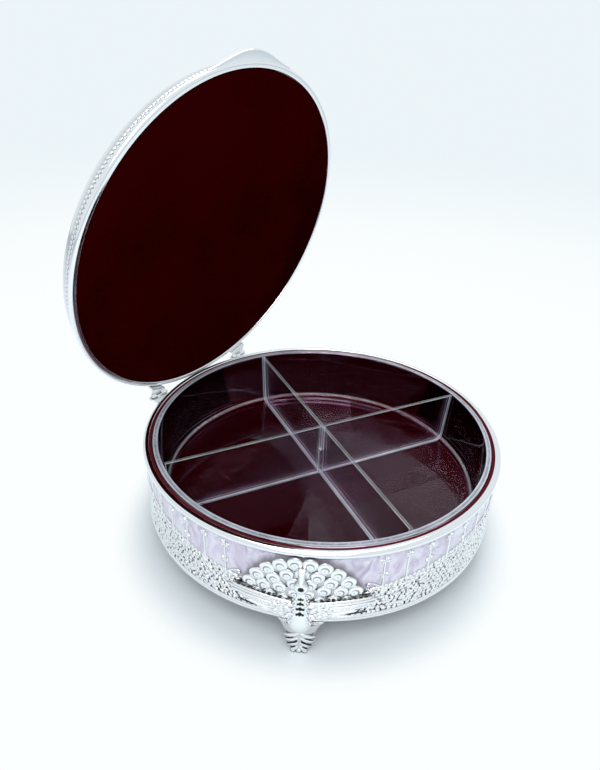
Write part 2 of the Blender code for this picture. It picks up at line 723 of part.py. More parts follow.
def divider_outline():
    """A divider's outline: slanted ends that follow the dish, and round lower corners."""
    low = TRAY_FLOOR_HEIGHT + FIT_GAP
    top_half = TRAY_INNER_RADIUS - DIVIDER_END_GAP
    bottom_half = TRAY_INNER_RADIUS - TRAY_DRAFT - DIVIDER_END_GAP
    corner = DIVIDER_CORNER_RADIUS
    right = arc((bottom_half - corner, low + corner), corner, -math.pi / 2, 0, DIVIDER_CORNER_STEPS)
    left = arc((corner - bottom_half, low + corner), corner, -math.pi, -math.pi / 2, DIVIDER_CORNER_STEPS)
    return left + right + [(top_half, BODY_HEIGHT), (-top_half, BODY_HEIGHT)]


def divider_slot(name, upward):
    """Cutter of a divider's half-lap slot, open at the top or at the bottom."""
    half = DIVIDER_THICKNESS / 2
    middle = (TRAY_FLOOR_HEIGHT + FIT_GAP + BODY_HEIGHT) / 2
    across = half + FIT_GAP
    through = half + CUT_OVERRUN
    if upward:
        return box_mesh(
            name, (-across, -through, middle - FIT_GAP / 2), (across, through, BODY_HEIGHT + CUT_OVERRUN)
        )
    return box_mesh(
        name, (-across, -through, TRAY_FLOOR_HEIGHT - CUT_OVERRUN), (across, through, middle + FIT_GAP / 2)
    )


def make_tray():
    axis = add_empty("tray_axis", (0, 0, TRAY_HEIGHT))
    wall_top = BODY_HEIGHT - TRAY_FLANGE_THICKNESS
    top_inner = TRAY_INNER_RADIUS
    floor_inner = TRAY_INNER_RADIUS - TRAY_DRAFT
    fillet_centre = (floor_inner - TRAY_FLOOR_FILLET, TRAY_FLOOR_HEIGHT + TRAY_FLOOR_FILLET)
    profile = [
        (0, TRAY_HEIGHT), (floor_inner - TRAY_FLOOR_FILLET, TRAY_HEIGHT),
        (floor_inner + TRAY_WALL_THICKNESS, TRAY_HEIGHT + TRAY_FLOOR_FILLET),
        (top_inner + TRAY_WALL_THICKNESS, wall_top), (TRAY_OUTER_RADIUS, wall_top),
        (TRAY_OUTER_RADIUS, BODY_HEIGHT), (top_inner, BODY_HEIGHT),
    ]
    profile += arc(fillet_centre, TRAY_FLOOR_FILLET, 0, -math.pi / 2, TRAY_FILLET_STEPS)
    profile.append((0, TRAY_FLOOR_HEIGHT))
    clear = (0.85, 0.87, 0.90)
    drop = Vector((0, 0, -TRAY_HEIGHT))
    turned("tray_bowl", profile, material("tray_clear", clear, 0.05, 0.0, 0.25), axis, drop)

    for k, name in enumerate(("divider_long", "divider_cross")):
        outline_mesh = plate_mesh(name, divider_outline(), DIVIDER_THICKNESS)
        slot_cut = divider_slot(f"{name}_slot", upward=k > 0)
        for mesh in (outline_mesh, slot_cut):
            mesh.transform(Matrix.Translation(drop))
            mesh.transform(Matrix.Rotation(DIVIDER_ANGLE + k * math.pi / 2, 4, "Z"))
        panel = add_object(name, outline_mesh, material(f"{name}_clear", clear, 0.05, 0.0, 0.3), axis)
        cutter = guide(f"{name}_slot", slot_cut)
        cutter.parent = axis
        combine(panel, cutter, "DIFFERENCE")


# Lid


def lid_side_radius(height):
    """Outer radius of the lid's side, by the height above its seat."""
    start = 2 * RIM_BEAD_RADIUS
    share = (height - start) / (LID_SIDE_HEIGHT - start)
    return WALL_RADIUS + LID_SIDE_RELIEF - LID_SIDE_TAPER * share


def lid_top_height():
    return LID_SEAT_HEIGHT + LID_SIDE_HEIGHT + LID_SHOULDER_RADIUS


def dome(outer_radius, edge_height, rise):
    """Points of a shallow dome from its edge to its centre."""
    points = []
    for i in range(LID_DOME_STEPS + 1):
        radius = outer_radius * (1 - i / LID_DOME_STEPS)
        points.append((radius, edge_height + rise * (1 - (radius / outer_radius) ** 2)))
    return points


def lid_shell_profile():
    seat = LID_SEAT_HEIGHT
    bead_centre = (RIM_INNER_RADIUS + RIM_BEAD_RADIUS, seat + RIM_BEAD_RADIUS)
    edge_centre = (RIM_INNER_RADIUS + RIM_EDGE_RADIUS, seat + RIM_EDGE_RADIUS)
    side_top = seat + LID_SIDE_HEIGHT
    side_radius = lid_side_radius(LID_SIDE_HEIGHT)
    shoulder_centre = (side_radius - LID_SHOULDER_RADIUS, side_top)
    ring_inner = side_radius - LID_SHOULDER_RADIUS - LID_RING_WIDTH
    top = lid_top_height()
    tray_edge = top - ENAMEL_THICKNESS - FIT_GAP
    lining_back = seat + LINING_RECESS + LINING_THICKNESS + FIT_GAP
    inner_wall = side_radius - LID_SHELL_THICKNESS
    points = arc(edge_centre, RIM_EDGE_RADIUS, -math.pi, -math.pi / 2, RIM_EDGE_STEPS)
    points += arc(bead_centre, RIM_BEAD_RADIUS, -math.pi / 2, math.pi / 2, RIM_BEAD_STEPS)
    points.append((lid_side_radius(2 * RIM_BEAD_RADIUS), seat + 2 * RIM_BEAD_RADIUS))
    points += arc(shoulder_centre, LID_SHOULDER_RADIUS, 0, math.pi / 2, LID_SHOULDER_STEPS)
    points.append((ring_inner, top))
    points += dome(ring_inner, tray_edge, LID_DOME_RISE)
    under = dome(ring_inner, tray_edge - LID_SHELL_THICKNESS, LID_DOME_RISE)
    points += under[::-1]
    points.append((inner_wall, side_top))
    points.append((inner_wall, lining_back + LINING_SHELF_WIDTH))
    points.append((RIM_INNER_RADIUS - LINING_SHELF_WIDTH, lining_back + LINING_SHELF_WIDTH))
    points.append((RIM_INNER_RADIUS - LINING_SHELF_WIDTH, lining_back))
    points.append((RIM_INNER_RADIUS, lining_back))
    return points


def tab_mesh(name):
    """The lift tab: a flat plate with a bell-shaped edge, outside the lid's bead."""
    sections = []
    low = LID_SEAT_HEIGHT + TAB_RISE
    high = low + TAB_THICKNESS
    inner = RIM_OUTER_RADIUS + FIT_GAP
    for i in range(TAB_STEPS + 1):
        share = 2 * i / TAB_STEPS - 1
        turn = share * TAB_HALF_ANGLE
        bell = (1 + math.cos(math.pi * share)) / 2
        outer = inner + TAB_END_REACH + (TAB_REACH - TAB_END_REACH) * bell
        section = []
        for radius, height in ((inner, low), (outer, low), (outer, high), (inner, high)):
            section.append((radius * math.sin(turn), -radius * math.cos(turn), height))
        sections.append(section)
    return loft_mesh(name, sections)


def make_lid(axis):
    offset = -HINGE_AXIS
    shell = turned("lid_shell", lid_shell_profile(), silver("lid_silver"), axis, offset)
    rivet_height = LID_SEAT_HEIGHT + RIVET_DROP
    holes = rivet_holes("lid_rivet_cutter", rivet_height)
    holes.transform(Matrix.Translation(offset))
    cutter = guide("lid_rivet_cutter", holes)
    cutter.parent = axis
    combine(shell, cutter, "DIFFERENCE")

    ring_inner = lid_side_radius(LID_SIDE_HEIGHT) - LID_SHOULDER_RADIUS - LID_RING_WIDTH
    edge = lid_top_height() - ENAMEL_THICKNESS
    pearl_radius = ring_inner - FIT_GAP
    pearl = dome(pearl_radius, edge + ENAMEL_THICKNESS, LID_DOME_RISE)
    pearl += dome(pearl_radius, edge, LID_DOME_RISE)[::-1]
    turned("lid_enamel", pearl, material("lid_pearl", (0.60, 0.55, 0.66), 0.22, 0.0), axis, offset)

    low = LID_SEAT_HEIGHT + LINING_RECESS
    high = low + LINING_THICKNESS
    lining_radius = RIM_INNER_RADIUS - FIT_GAP
    lining = [(0, low), (lining_radius, low), (lining_radius, high), (0, high)]
    turned("lid_lining", lining, material("lining_velvet", (0.12, 0.004, 0.006), 0.8, 0.0), axis, offset)

    tab = tab_mesh("lift_tab")
    tab.transform(Matrix.Translation(offset))
    add_object("lift_tab", tab, silver("tab_silver"), axis)


# Hinges


def plate_section(angle, up):
    """Section of a leaf at one direction: the flange on the wall and the strap out to the knuckles."""
    inner = RIM_OUTER_RADIUS + FIT_GAP
    outer = inner + LEAF_THICKNESS
    strap_far = HINGE_AXIS.z + up * (KNUCKLE_RADIUS - FIT_GAP)
    strap_near = strap_far - up * LEAF_THICKNESS
    flange_end = BODY_HEIGHT + up * LEAF_REACH
    strap_end = HINGE_AXIS_RADIUS - KNUCKLE_RADIUS
    across = outer * math.cos(angle)
    return [
        (inner * math.cos(angle), inner * math.sin(angle), flange_end),
        (across, outer * math.sin(angle), flange_end),
        (across, outer * math.sin(angle), strap_far),
        (across, strap_end, strap_far),
        (across, strap_end, strap_near),
        (inner * math.cos(angle), inner * math.sin(angle), strap_near),
    ]


def plate_and_flange_mesh(name, side, up):
    half_turn = HINGE_LENGTH / 2 / RIM_OUTER_RADIUS
    sections = []
    for i in range(LEAF_STEPS + 1):
        angle = hinge_angle(side) + half_turn * (2 * i / LEAF_STEPS - 1)
        sections.append(plate_section(angle, up))
    mesh = loft_mesh(name, sections)
    mesh.transform(Matrix.Translation(-HINGE_AXIS))
    return mesh


def knuckle_meshes(prefix, side, up):
    """Knuckles about the hinge axis and the fingers that carry them: up is 1 for the lid, else -1."""
    half = HINGE_LENGTH / 2
    knuckle = HINGE_LENGTH * KNUCKLE_SHARE
    if up > 0:
        spans = [(-half + knuckle + FIT_GAP, half - knuckle - FIT_GAP)]
    else:
        spans = [(-half, -half + knuckle), (half - knuckle, half)]
    far = up * (KNUCKLE_RADIUS - FIT_GAP * 3 / 2)
    near = far - up * (LEAF_THICKNESS - FIT_GAP)
    centre = side * HINGE_SPREAD
    parts = []
    for k, (start, end) in enumerate(spans):
        finger_low = (centre + start, -KNUCKLE_RADIUS - LEAF_THICKNESS, min(near, far))
        finger_high = (centre + end, 0, max(near, far))
        parts.append(box_mesh(f"{prefix}_finger_{k}", finger_low, finger_high))
        ends = ((KNUCKLE_RADIUS, start), (KNUCKLE_RADIUS, end))
        tube = rod_mesh(f"{prefix}_knuckle_{k}", ends, KNUCKLE_SEGMENTS)
        tube.transform(Matrix.Rotation(math.pi / 2, 4, "Y"))
        tube.transform(Matrix.Translation((centre, 0, 0)))
        parts.append(tube)
    return parts


def make_leaf(name, side, up, axis, holes):
    plate = plate_and_flange_mesh(f"{name}_plate", side, up)
    leaf = add_object(name, plate, silver(f"{name}_silver"), axis)
    for k, part in enumerate(knuckle_meshes(name, side, up)):
        tool = guide(f"{name}_guide_{k}", part)
        tool.parent = axis
        combine(leaf, tool, "UNION")
    bore_length = HINGE_LENGTH / 2 + CUT_OVERRUN
    bore_radius = PIN_RADIUS + FIT_GAP
    bore = rod_mesh(f"{name}_bore", ((bore_radius, -bore_length), (bore_radius, bore_length)))
    bore.transform(Matrix.Rotation(math.pi / 2, 4, "Y"))
    bore.transform(Matrix.Translation((side * HINGE_SPREAD, 0, 0)))
    for cutter_mesh in (bore, holes):
        cutter = guide(f"{cutter_mesh.name}_cutter", cutter_mesh)
        cutter.parent = axis
        combine(leaf, cutter, "DIFFERENCE")


def make_pin(name, side, axis):
    half = HINGE_LENGTH / 2 + FIT_GAP
    stations = (
        (PIN_HEAD_RADIUS, -half - PIN_HEAD_LENGTH), (PIN_HEAD_RADIUS, -half), (PIN_RADIUS, -half),
        (PIN_RADIUS, half), (PIN_HEAD_RADIUS, half), (PIN_HEAD_RADIUS, half + PIN_HEAD_LENGTH),
    )
    mesh = rod_mesh(name, stations)
    mesh.transform(Matrix.Rotation(math.pi / 2, 4, "Y"))
    pin = add_object(name, mesh, material(f"{name}_steel", (0.7, 0.7, 0.72), 0.25, 1.0), axis)
    pin.location = (side * HINGE_SPREAD, 0, 0)


def make_rivets(prefix, height, inner, axis):
    """Rivets of one leaf pair, with round heads on the leaf and shanks in the wall."""
    head = RIM_OUTER_RADIUS + 2 * FIT_GAP + LEAF_THICKNESS
    stations = (
        (RIVET_RADIUS, inner), (RIVET_RADIUS, head), (RIVET_HEAD_RADIUS, head),
        (RIVET_HEAD_RADIUS * HEAD_EDGE_SHARE, head + RIVET_HEAD_HEIGHT),
    )
    side_names = {-1: "left", 1: "right"}
    for side, along, angle in rivet_angles():
        name = f"{prefix}_{side_names[side]}_{'inner' if along * side > 0 else 'outer'}"
        mesh = rod_mesh(name, stations)
        mesh.transform(Matrix.Rotation(math.pi / 2, 4, "Y"))
        mesh.transform(Matrix.Translation((0, 0, height)))
        mesh.transform(Matrix.Rotation(angle, 4, "Z"))
        mesh.transform(Matrix.Translation(-HINGE_AXIS))
        add_object(name, mesh, silver(f"{name}_silver"), axis)


def make_hinges(body_axis, lid_axis):
    body_height = BODY_HEIGHT - RIVET_DROP
    lid_height = LID_SEAT_HEIGHT + RIVET_DROP
    for side, side_name in ((-1, "left"), (1, "right")):
        leaves = ((-1, body_axis, "body", body_height), (1, lid_axis, "lid", lid_height))
        for up, axis, owner, height in leaves:
            holes = rivet_holes(f"{owner}_leaf_{side_name}_holes", height)
            holes.transform(Matrix.Translation(-HINGE_AXIS))
            make_leaf(f"{owner}_leaf_{side_name}", side, up, axis, holes)
        make_pin(f"hinge_pin_{side_name}", side, body_axis)
    make_rivets("body_rivet", body_height, wall_radius(body_height) - WALL_THICKNESS, body_axis)
    make_rivets("lid_rivet", lid_height, lid_side_radius(LID_SIDE_HEIGHT) - LID_SHELL_THICKNESS, lid_axis)


def main():
    for old in list(bpy.data.objects):
        bpy.data.objects.remove(old)
    make_body()
    make_feet()
    make_tray()
    body_axis = add_empty("hinge_axis", HINGE_AXIS)
    lid_axis = add_empty("lid_axis", HINGE_AXIS, (-LID_OPEN_ANGLE, 0, 0))
    make_lid(lid_axis)
    make_hinges(body_axis, lid_axis)


main()
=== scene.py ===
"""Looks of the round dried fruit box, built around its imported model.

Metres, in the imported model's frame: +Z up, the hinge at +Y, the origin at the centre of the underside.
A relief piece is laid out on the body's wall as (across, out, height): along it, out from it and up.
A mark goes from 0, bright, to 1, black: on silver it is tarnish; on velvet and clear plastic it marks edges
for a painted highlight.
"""
import math
import random

import bmesh
import bpy
from mathutils import Matrix, Vector


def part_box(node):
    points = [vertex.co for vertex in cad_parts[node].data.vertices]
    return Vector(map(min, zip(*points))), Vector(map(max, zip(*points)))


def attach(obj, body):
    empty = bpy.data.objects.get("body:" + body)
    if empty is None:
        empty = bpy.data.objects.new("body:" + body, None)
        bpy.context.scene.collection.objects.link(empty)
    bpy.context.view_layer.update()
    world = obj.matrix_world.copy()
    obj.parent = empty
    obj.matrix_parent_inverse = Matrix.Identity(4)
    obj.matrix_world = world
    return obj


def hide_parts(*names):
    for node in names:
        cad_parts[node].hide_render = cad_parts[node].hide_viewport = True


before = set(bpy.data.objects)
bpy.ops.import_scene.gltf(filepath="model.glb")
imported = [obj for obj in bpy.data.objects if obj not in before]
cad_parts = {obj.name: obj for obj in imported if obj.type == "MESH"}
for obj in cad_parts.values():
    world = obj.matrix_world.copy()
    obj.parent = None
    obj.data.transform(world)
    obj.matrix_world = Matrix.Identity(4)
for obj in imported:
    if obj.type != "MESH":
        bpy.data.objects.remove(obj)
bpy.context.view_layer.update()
MM = 0.001

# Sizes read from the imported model
body_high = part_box("body_shell")[1]
tray_low, tray_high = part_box("tray_bowl")
RIM_OUTER_RADIUS = body_high.x
BODY_HEIGHT = body_high.z
FLOOR_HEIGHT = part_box("peacock_foot_left")[0].z
TRAY_HEIGHT = tray_low.z
TRAY_OUTER_RADIUS = tray_high.x

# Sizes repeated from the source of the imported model
FIT_GAP = 0.3 * MM
RIM_BEAD_RADIUS = 2.1 * MM
RIM_INNER_RADIUS = RIM_OUTER_RADIUS - 2 * RIM_BEAD_RADIUS
WALL_THICKNESS = 1.3 * MM
WALL_RADIUS = RIM_INNER_RADIUS + WALL_THICKNESS
BODY_TAPER = 2.0 * MM
BELT_RELIEF = 2.1 * MM
BELT_MEAN_HEIGHT = 28.0 * MM
BELT_WAVE_HEIGHT = 6.0 * MM
LOWER_BEAD_RADIUS = 1.6 * MM
MIDDLE_BEAD_RADIUS = 0.9 * MM
LEDGE_WIDTH = 10.0 * MM
LEDGE_INNER_RADIUS = WALL_RADIUS - BODY_TAPER - WALL_THICKNESS - LEDGE_WIDTH
LEDGE_THICKNESS = 1.5 * MM
RIM_EDGE_RADIUS = 0.8 * MM
FOOT_COUNT = 3
FIRST_FOOT_ANGLE = math.radians(91)
ENAMEL_THICKNESS = 0.9 * MM
RIM_BEAD_BOTTOM = BODY_HEIGHT - 2 * RIM_BEAD_RADIUS


def wall_radius(height):
    """Outer radius of the casting's wall behind the enamel."""
    return WALL_RADIUS - BODY_TAPER * (1 - height / BODY_HEIGHT)


def belt_top(angle):
    """Upper edge of the scale belt, low at each foot and high between the feet."""
    return BELT_MEAN_HEIGHT - BELT_WAVE_HEIGHT * math.cos(FOOT_COUNT * (angle - FIRST_FOOT_ANGLE))


# Materials

CREVICE_WIDTH = 2.2 * MM
GRAIN_DEPTH = 0.1 * MM
ENAMEL_FLOW = 26 * MM
ENAMEL_WAVE_DEPTH = 0.4 * MM
PILE_DEPTH = 0.2 * MM
MOULD_WAVE_DEPTH = 0.5 * MM
PLASTIC_IOR = 1.49


def new_material(name):
    made = bpy.data.materials.new(name)
    made.use_nodes = True
    tree = made.node_tree
    return made, tree, tree.nodes["Principled BSDF"]


def node(tree, kind, inputs=None, **settings):
    """Adds a node, sets its properties, and sets or links its inputs."""
    made = tree.nodes.new("ShaderNode" + kind)
    for key, value in settings.items():
        setattr(made, key, value)
    set_inputs(tree, made, inputs or {})
    return made


def set_inputs(tree, target, inputs):
    for key, value in inputs.items():
        if isinstance(value, bpy.types.NodeSocket):
            tree.links.new(value, target.inputs[key])
        else:
            target.inputs[key].default_value = value


def calculate(tree, operation, first, second, **settings):
    return node(tree, "Math", {0: first, 1: second}, operation=operation, **settings).outputs[0]


def mix_shaders(tree, share, first, second):
    return node(tree, "MixShader", {0: share, 1: first, 2: second}).outputs[0]


def ranged(tree, value, limits, **settings):
    return node(tree, "MapRange", {"Value": value, **limits}, **settings).outputs["Result"]


def place_on_object(tree):
    return node(tree, "TexCoord").outputs["Object"]


def noise(tree, place, scale, detail, **extra):
    inputs = {"Vector": place, "Scale": scale, "Detail": detail, **extra}
    return node(tree, "TexNoise", inputs).outputs["Fac"]


def bump(tree, height, strength, depth):
    inputs = {"Height": height, "Strength": strength, "Distance": depth}
    return node(tree, "Bump", inputs).outputs["Normal"]


def patina_and_highlight_mark(tree):
    return node(tree, "Attribute", attribute_name="patina_and_highlight").outputs["Fac"]


def ramp(tree, factor, stops):
    """A colour ramp through stops of (position, colour)."""
    made = node(tree, "ValToRGB", {"Fac": factor})
    elements = made.color_ramp.elements
    elements[0].position, elements[0].color = stops[0]
    elements[1].position, elements[1].color = stops[-1]
    for position, colour in stops[1:-1]:
        elements.new(position).color = colour
    return made.outputs["Color"]


def grey(value):
    return (value, value, value, 1.0)


def silver_material(name, bright, polish, relief_dark):
    """Bright plate that is dark with tarnish where the mark attribute is high and in narrow crevices."""
    made, tree, shader = new_material(name)
    place = place_on_object(tree)
    crevice = node(tree, "AmbientOcclusion", {"Distance": CREVICE_WIDTH}, samples=8, only_local=True)
    hidden = calculate(tree, "SUBTRACT", 1.0, crevice.outputs["AO"])
    cover = calculate(tree, "MULTIPLY", hidden, relief_dark)
    both = calculate(tree, "MAXIMUM", patina_and_highlight_mark(tree), cover)
    spread = ranged(tree, noise(tree, place, 160.0, 3.0), {"To Min": 0.8, "To Max": 1.15})
    amount = calculate(tree, "MULTIPLY", both, spread, use_clamp=True)
    rough = ranged(tree, amount, {"To Min": polish, "To Max": 0.5})
    wiped = ranged(tree, noise(tree, place, 45.0, 4.0), {"To Min": 0.0, "To Max": 0.07})
    set_inputs(tree, shader, {
        "Base Color": ramp(tree, amount, (
            (0.0, (bright, bright, bright * 1.01, 1.0)), (0.45, grey(0.42)), (0.8, grey(0.07)),
            (1.0, grey(0.02)),
        )),
        "Roughness": calculate(tree, "ADD", rough, wiped),
        "Normal": bump(tree, noise(tree, place, 900.0, 2.0), 0.06, GRAIN_DEPTH),
        "Metallic": 1.0,
    })
    return made


def enamel_material():
    """Pearly lilac enamel with flame-like swirls of mauve and white under a clear glaze."""
    made, tree, shader = new_material("lilac_pearl")
    place = place_on_object(tree)
    stretch = node(tree, "Mapping", {"Vector": place, "Scale": (1.0, 1.0, 0.55)}).outputs[0]
    warp = node(tree, "TexNoise", {"Vector": stretch, "Scale": 55.0, "Detail": 2.0}).outputs["Color"]
    shift = node(tree, "VectorMath", {0: warp, "Scale": ENAMEL_FLOW}, operation="SCALE").outputs[0]
    moved = node(tree, "VectorMath", {0: stretch, 1: shift}, operation="ADD").outputs[0]
    swirl = noise(tree, moved, 95.0, 4.0, Roughness=0.55, Distortion=1.6)
    set_inputs(tree, shader, {
        "Base Color": ramp(tree, swirl, (
            (0.30, (0.450, 0.360, 0.510, 1.0)), (0.42, (0.600, 0.530, 0.670, 1.0)),
            (0.52, (0.690, 0.640, 0.770, 1.0)), (0.62, (0.770, 0.740, 0.840, 1.0)),
            (0.74, (0.880, 0.860, 0.920, 1.0)),
        )),
        "Normal": bump(tree, swirl, 0.12, ENAMEL_WAVE_DEPTH),
        "Roughness": 0.32,
        "Coat Weight": 0.8,
        "Coat Roughness": 0.06,
        "Sheen Weight": 0.15,
    })
    return made


def velvet_material(name, deep, light, crest, wall_shade_share):
    """Short velvet pile with painted shade on upright walls, and its crest colour, a painted highlight,
    where the mark is.
    """
    made, tree, shader = new_material(name)
    place = place_on_object(tree)
    brushed = noise(tree, place, 14.0, 3.0)
    fibre = noise(tree, place, 1500.0, 2.0)
    both = calculate(tree, "ADD", brushed, fibre)
    pile = ramp(tree, both, ((0.75, (*deep, 1.0)), (1.25, (*light, 1.0))))
    facing = node(tree, "NewGeometry").outputs["True Normal"]
    upward = node(tree, "SeparateXYZ", {"Vector": facing}).outputs["Z"]
    # Painted shade: upright walls are darkened to the wall share of the pile's colour.
    level = ranged(tree, upward, {"From Max": 0.5, "To Min": wall_shade_share})
    shaded = node(tree, "VectorMath", {0: pile, "Scale": level}, operation="SCALE").outputs[0]
    # Painted highlight: the marked crest takes the crest colour.
    with_crest_highlight = node(tree, "MixRGB", {"Fac": patina_and_highlight_mark(tree), "Color1": shaded, "Color2": (*crest, 1.0)})
    set_inputs(tree, shader, {
        "Base Color": with_crest_highlight.outputs[0],
        "Normal": bump(tree, fibre, 0.3, PILE_DEPTH),
        "Roughness": 0.9,
        "Specular IOR Level": 0.0,
    })
    return made


def clear_material(name, thin_share, shine_share, edge_highlight_share):
    """Clear moulded plastic with a pale painted highlight where the mark attribute marks its edges."""
    made, tree, shader = new_material(name)
    place = place_on_object(tree)
    set_inputs(tree, shader, {
        "Base Color": (0.95, 0.96, 0.98, 1.0),
        "Roughness": 0.015,
        "IOR": PLASTIC_IOR,
        "Transmission Weight": 1.0,
        "Normal": bump(tree, noise(tree, place, 12.0, 1.0), 0.003, MOULD_WAVE_DEPTH),
    })
    facing = node(tree, "Fresnel", {"IOR": PLASTIC_IOR}).outputs[0]
    open_face = node(tree, "BsdfTransparent", {"Color": (0.96, 0.97, 0.99, 1.0)}).outputs[0]
    tinted = {"Color": (0.66, 0.48, 0.60, 1.0), "Roughness": 0.02}
    mirror = node(tree, "BsdfAnisotropic", tinted).outputs[0]
    shine = calculate(tree, "MULTIPLY", facing, shine_share)
    face = mix_shaders(tree, thin_share, shader.outputs[0], mix_shaders(tree, shine, open_face, mirror))
    # Painted highlight: a pale diffuse colour where the edge mark is, standing in for light the edges
    # gather.
    spread = ranged(tree, noise(tree, place, 60.0, 2.0), {"To Min": 0.5, "To Max": 1.5})
    edge = calculate(tree, "MULTIPLY", patina_and_highlight_mark(tree), spread)
    amount = calculate(tree, "MULTIPLY", edge, edge_highlight_share, use_clamp=True)
    painted_edge_highlight = node(tree, "BsdfDiffuse", {"Color": (0.80, 0.90, 0.93, 1.0)}).outputs[0]
    through = node(tree, "BsdfTransparent", {"Color": (0.86, 0.87, 0.89, 1.0)}).outputs[0]
    shadow = node(tree, "LightPath").outputs["Is Shadow Ray"]
    surface = mix_shaders(tree, shadow, mix_shaders(tree, amount, face, painted_edge_highlight), through)
    tree.links.new(surface, tree.nodes["Material Output"].inputs["Surface"])
    return made


def plain_material(name, colour, roughness, metallic, scale, contrast):
    """A surface with fine noise in its colour and height."""
    made, tree, shader = new_material(name)
    grain = noise(tree, place_on_object(tree), scale, 4.0)
    dark = [channel * (1 - contrast) for channel in colour]
    set_inputs(tree, shader, {
        "Base Color": ramp(tree, grain, ((0.35, (*dark, 1.0)), (0.65, (*colour, 1.0)))),
        "Normal": bump(tree, grain, 0.15, PILE_DEPTH),
        "Roughness": roughness,
        "Metallic": metallic,
    })
    return made


SILVER = silver_material("silver_relief", 0.92, 0.16, 0.6)
POLISHED = silver_material("silver_polished", 0.86, 0.07, 0.35)
ENAMEL = enamel_material()
LINING = velvet_material(
    "lid_velvet", (0.010, 0.0002, 0.0003), (0.030, 0.0004, 0.0006), (0.05, 0.001, 0.002), 1.0,
)
# Well velvet: upright walls painted dark as shade, and a paler crest colour as a painted highlight.
LINER = velvet_material(
    "well_velvet", (0.080, 0.0002, 0.0026), (0.150, 0.0004, 0.0048), (0.10, 0.009, 0.018), 0.03,
)
CLEAR = clear_material("clear_plastic", 0.85, 1.0, 0.8)
PANEL = clear_material("clear_panel", 0.95, 0.4, 0.95)
CLOTH = plain_material("under_cloth", (0.035, 0.006, 0.010), 0.9, 0.0, 900.0, 0.5)
BOARD = plain_material("floor_board", (0.38, 0.25, 0.15), 0.8, 0.0, 220.0, 0.35)
STEEL = plain_material("plain_steel", (0.62, 0.62, 0.64), 0.3, 1.0, 300.0, 0.15)


# Mesh building


class Relief:
    """Points, faces and marks of a piece that is gathered from closed shells."""

    def __init__(self):
        self.points = []
        self.faces = []
        self.patina_and_highlight = []

    def add(self, points, faces, patina_and_highlight):
        start = len(self.points)
        self.points.extend(points)
        self.patina_and_highlight.extend(patina_and_highlight)
        self.faces.extend([start + k for k in face] for face in faces)

    def loft(self, sections):
        """A closed shell through a row of closed sections, each a list of (point, tarnish)."""
        count = len(sections[0])
        faces = []
        for i in range(len(sections) - 1):
            here = i * count
            ahead = here + count
            for k in range(count):
                after = (k + 1) % count
                faces.append((here + k, here + after, ahead + after, ahead + k))
        last = (len(sections) - 1) * count
        faces.append(tuple(range(count))[::-1])
        faces.append(tuple(range(last, last + count)))
        corners = [corner for section in sections for corner in section]
        self.add([point for point, _ in corners], faces, [mark for _, mark in corners])

    def mesh(self, name):
        made = bpy.data.meshes.new(name)
        made.from_pydata([tuple(point) for point in self.points], [], self.faces)
        values = made.attributes.new("patina_and_highlight", "FLOAT", "POINT")
        values.data.foreach_set("value", self.patina_and_highlight)
        bm = bmesh.new()
        bm.from_mesh(made)
        bmesh.ops.recalc_face_normals(bm, faces=bm.faces)
        bm.to_mesh(made)
        bm.free()
        return made


SHARP_ANGLE = math.radians(50)
FINE_SHARP_ANGLE = math.radians(30)
DISH_SHARP_ANGLE = math.radians(35)


def link(made):
    bpy.context.scene.collection.objects.link(made)
    return made


def add_piece(name, mesh, finish, body, replaced=(), sharp=SHARP_ANGLE):
    mesh.materials.clear()
    mesh.materials.append(finish)
    mesh.shade_smooth()
    mesh.set_sharp_from_angle(angle=sharp)
    made = link(bpy.data.objects.new(name, mesh))
    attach(made, body)
    if replaced:
        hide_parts(*replaced)
    return made


def arc(centre, radius, start, end, steps):
    """Points of an arc in a profile plane, from start to end in radians."""
    turn = (end - start) / steps
    return [
        (centre[0] + radius * math.cos(start + turn * i), centre[1] + radius * math.sin(start + turn * i))
        for i in range(steps + 1)
    ]


def between(start, end, share):
    return start + (end - start) * share


def swell(span, share):
    """The height of a sine's hump between two shares of it."""
    return math.sin(math.pi * between(*span, share))


def shares(steps):
    """Equal steps from 0 to 1."""
    return [i / steps for i in range(steps + 1)]


def round_turns(sides):
    """Directions of a round section's corners, none of them straight ahead."""
    return [2 * math.pi * (k + 0.5) / sides for k in range(sides)]


def marked(points, patina_and_highlight=0.0):
    return [(radius, height, patina_and_highlight) for radius, height in points]


def turned(profile_at, segments):
    """Turns a closed profile of (radius, height, mark) about Z into a ring or a disc."""
    columns = []
    points = []
    marks = []
    poles = {}
    for i in range(segments):
        angle = 2 * math.pi * i / segments
        column = []
        for k, (radius, height, mark) in enumerate(profile_at(angle)):
            if radius > 0 or k not in poles:
                if radius == 0:
                    poles[k] = len(points)
                column.append(len(points))
                points.append((radius * math.cos(angle), radius * math.sin(angle), height))
                marks.append(mark)
            else:
                column.append(poles[k])
        columns.append(column)
    faces = []
    for i in range(segments):
        here = columns[i]
        after = columns[(i + 1) % segments]
        count = len(here)
        for k in range(count):
            corners = []
            for corner in (here[k], after[k], after[(k + 1) % count], here[(k + 1) % count]):
                if corner not in corners:
                    corners.append(corner)
            if len(corners) > 2:
                faces.append(corners)
    relief = Relief()
    relief.add(points, faces, marks)
    return relief


ROOT_DEPTH = 2 * FIT_GAP


def strip(relief, place, stations, base, cross=6, edge_mark=0.75, middle_mark=0.0):
    """A raised strip through stations of (across, height, half width, rise), closed behind the wall."""
    sections = []
    for i, (across, height, half, rise) in enumerate(stations):
        before = stations[max(i - 1, 0)]
        after = stations[min(i + 1, len(stations) - 1)]
        along = (after[0] - before[0], after[1] - before[1])
        length = math.hypot(*along)
        side = (-along[1] / length, along[0] / length)
        section = []
        for k in range(cross + 1):
            share = 2 * k / cross - 1
            out = base + rise * math.sqrt(max(0.0, 1 - share * share))
            point = place(across + side[0] * half * share, out, height + side[1] * half * share)
            section.append((point, between(middle_mark, edge_mark, share ** 4)))
        section.append((place(across, base - ROOT_DEPTH, height), edge_mark))
        sections.append(section)
    relief.loft(sections)


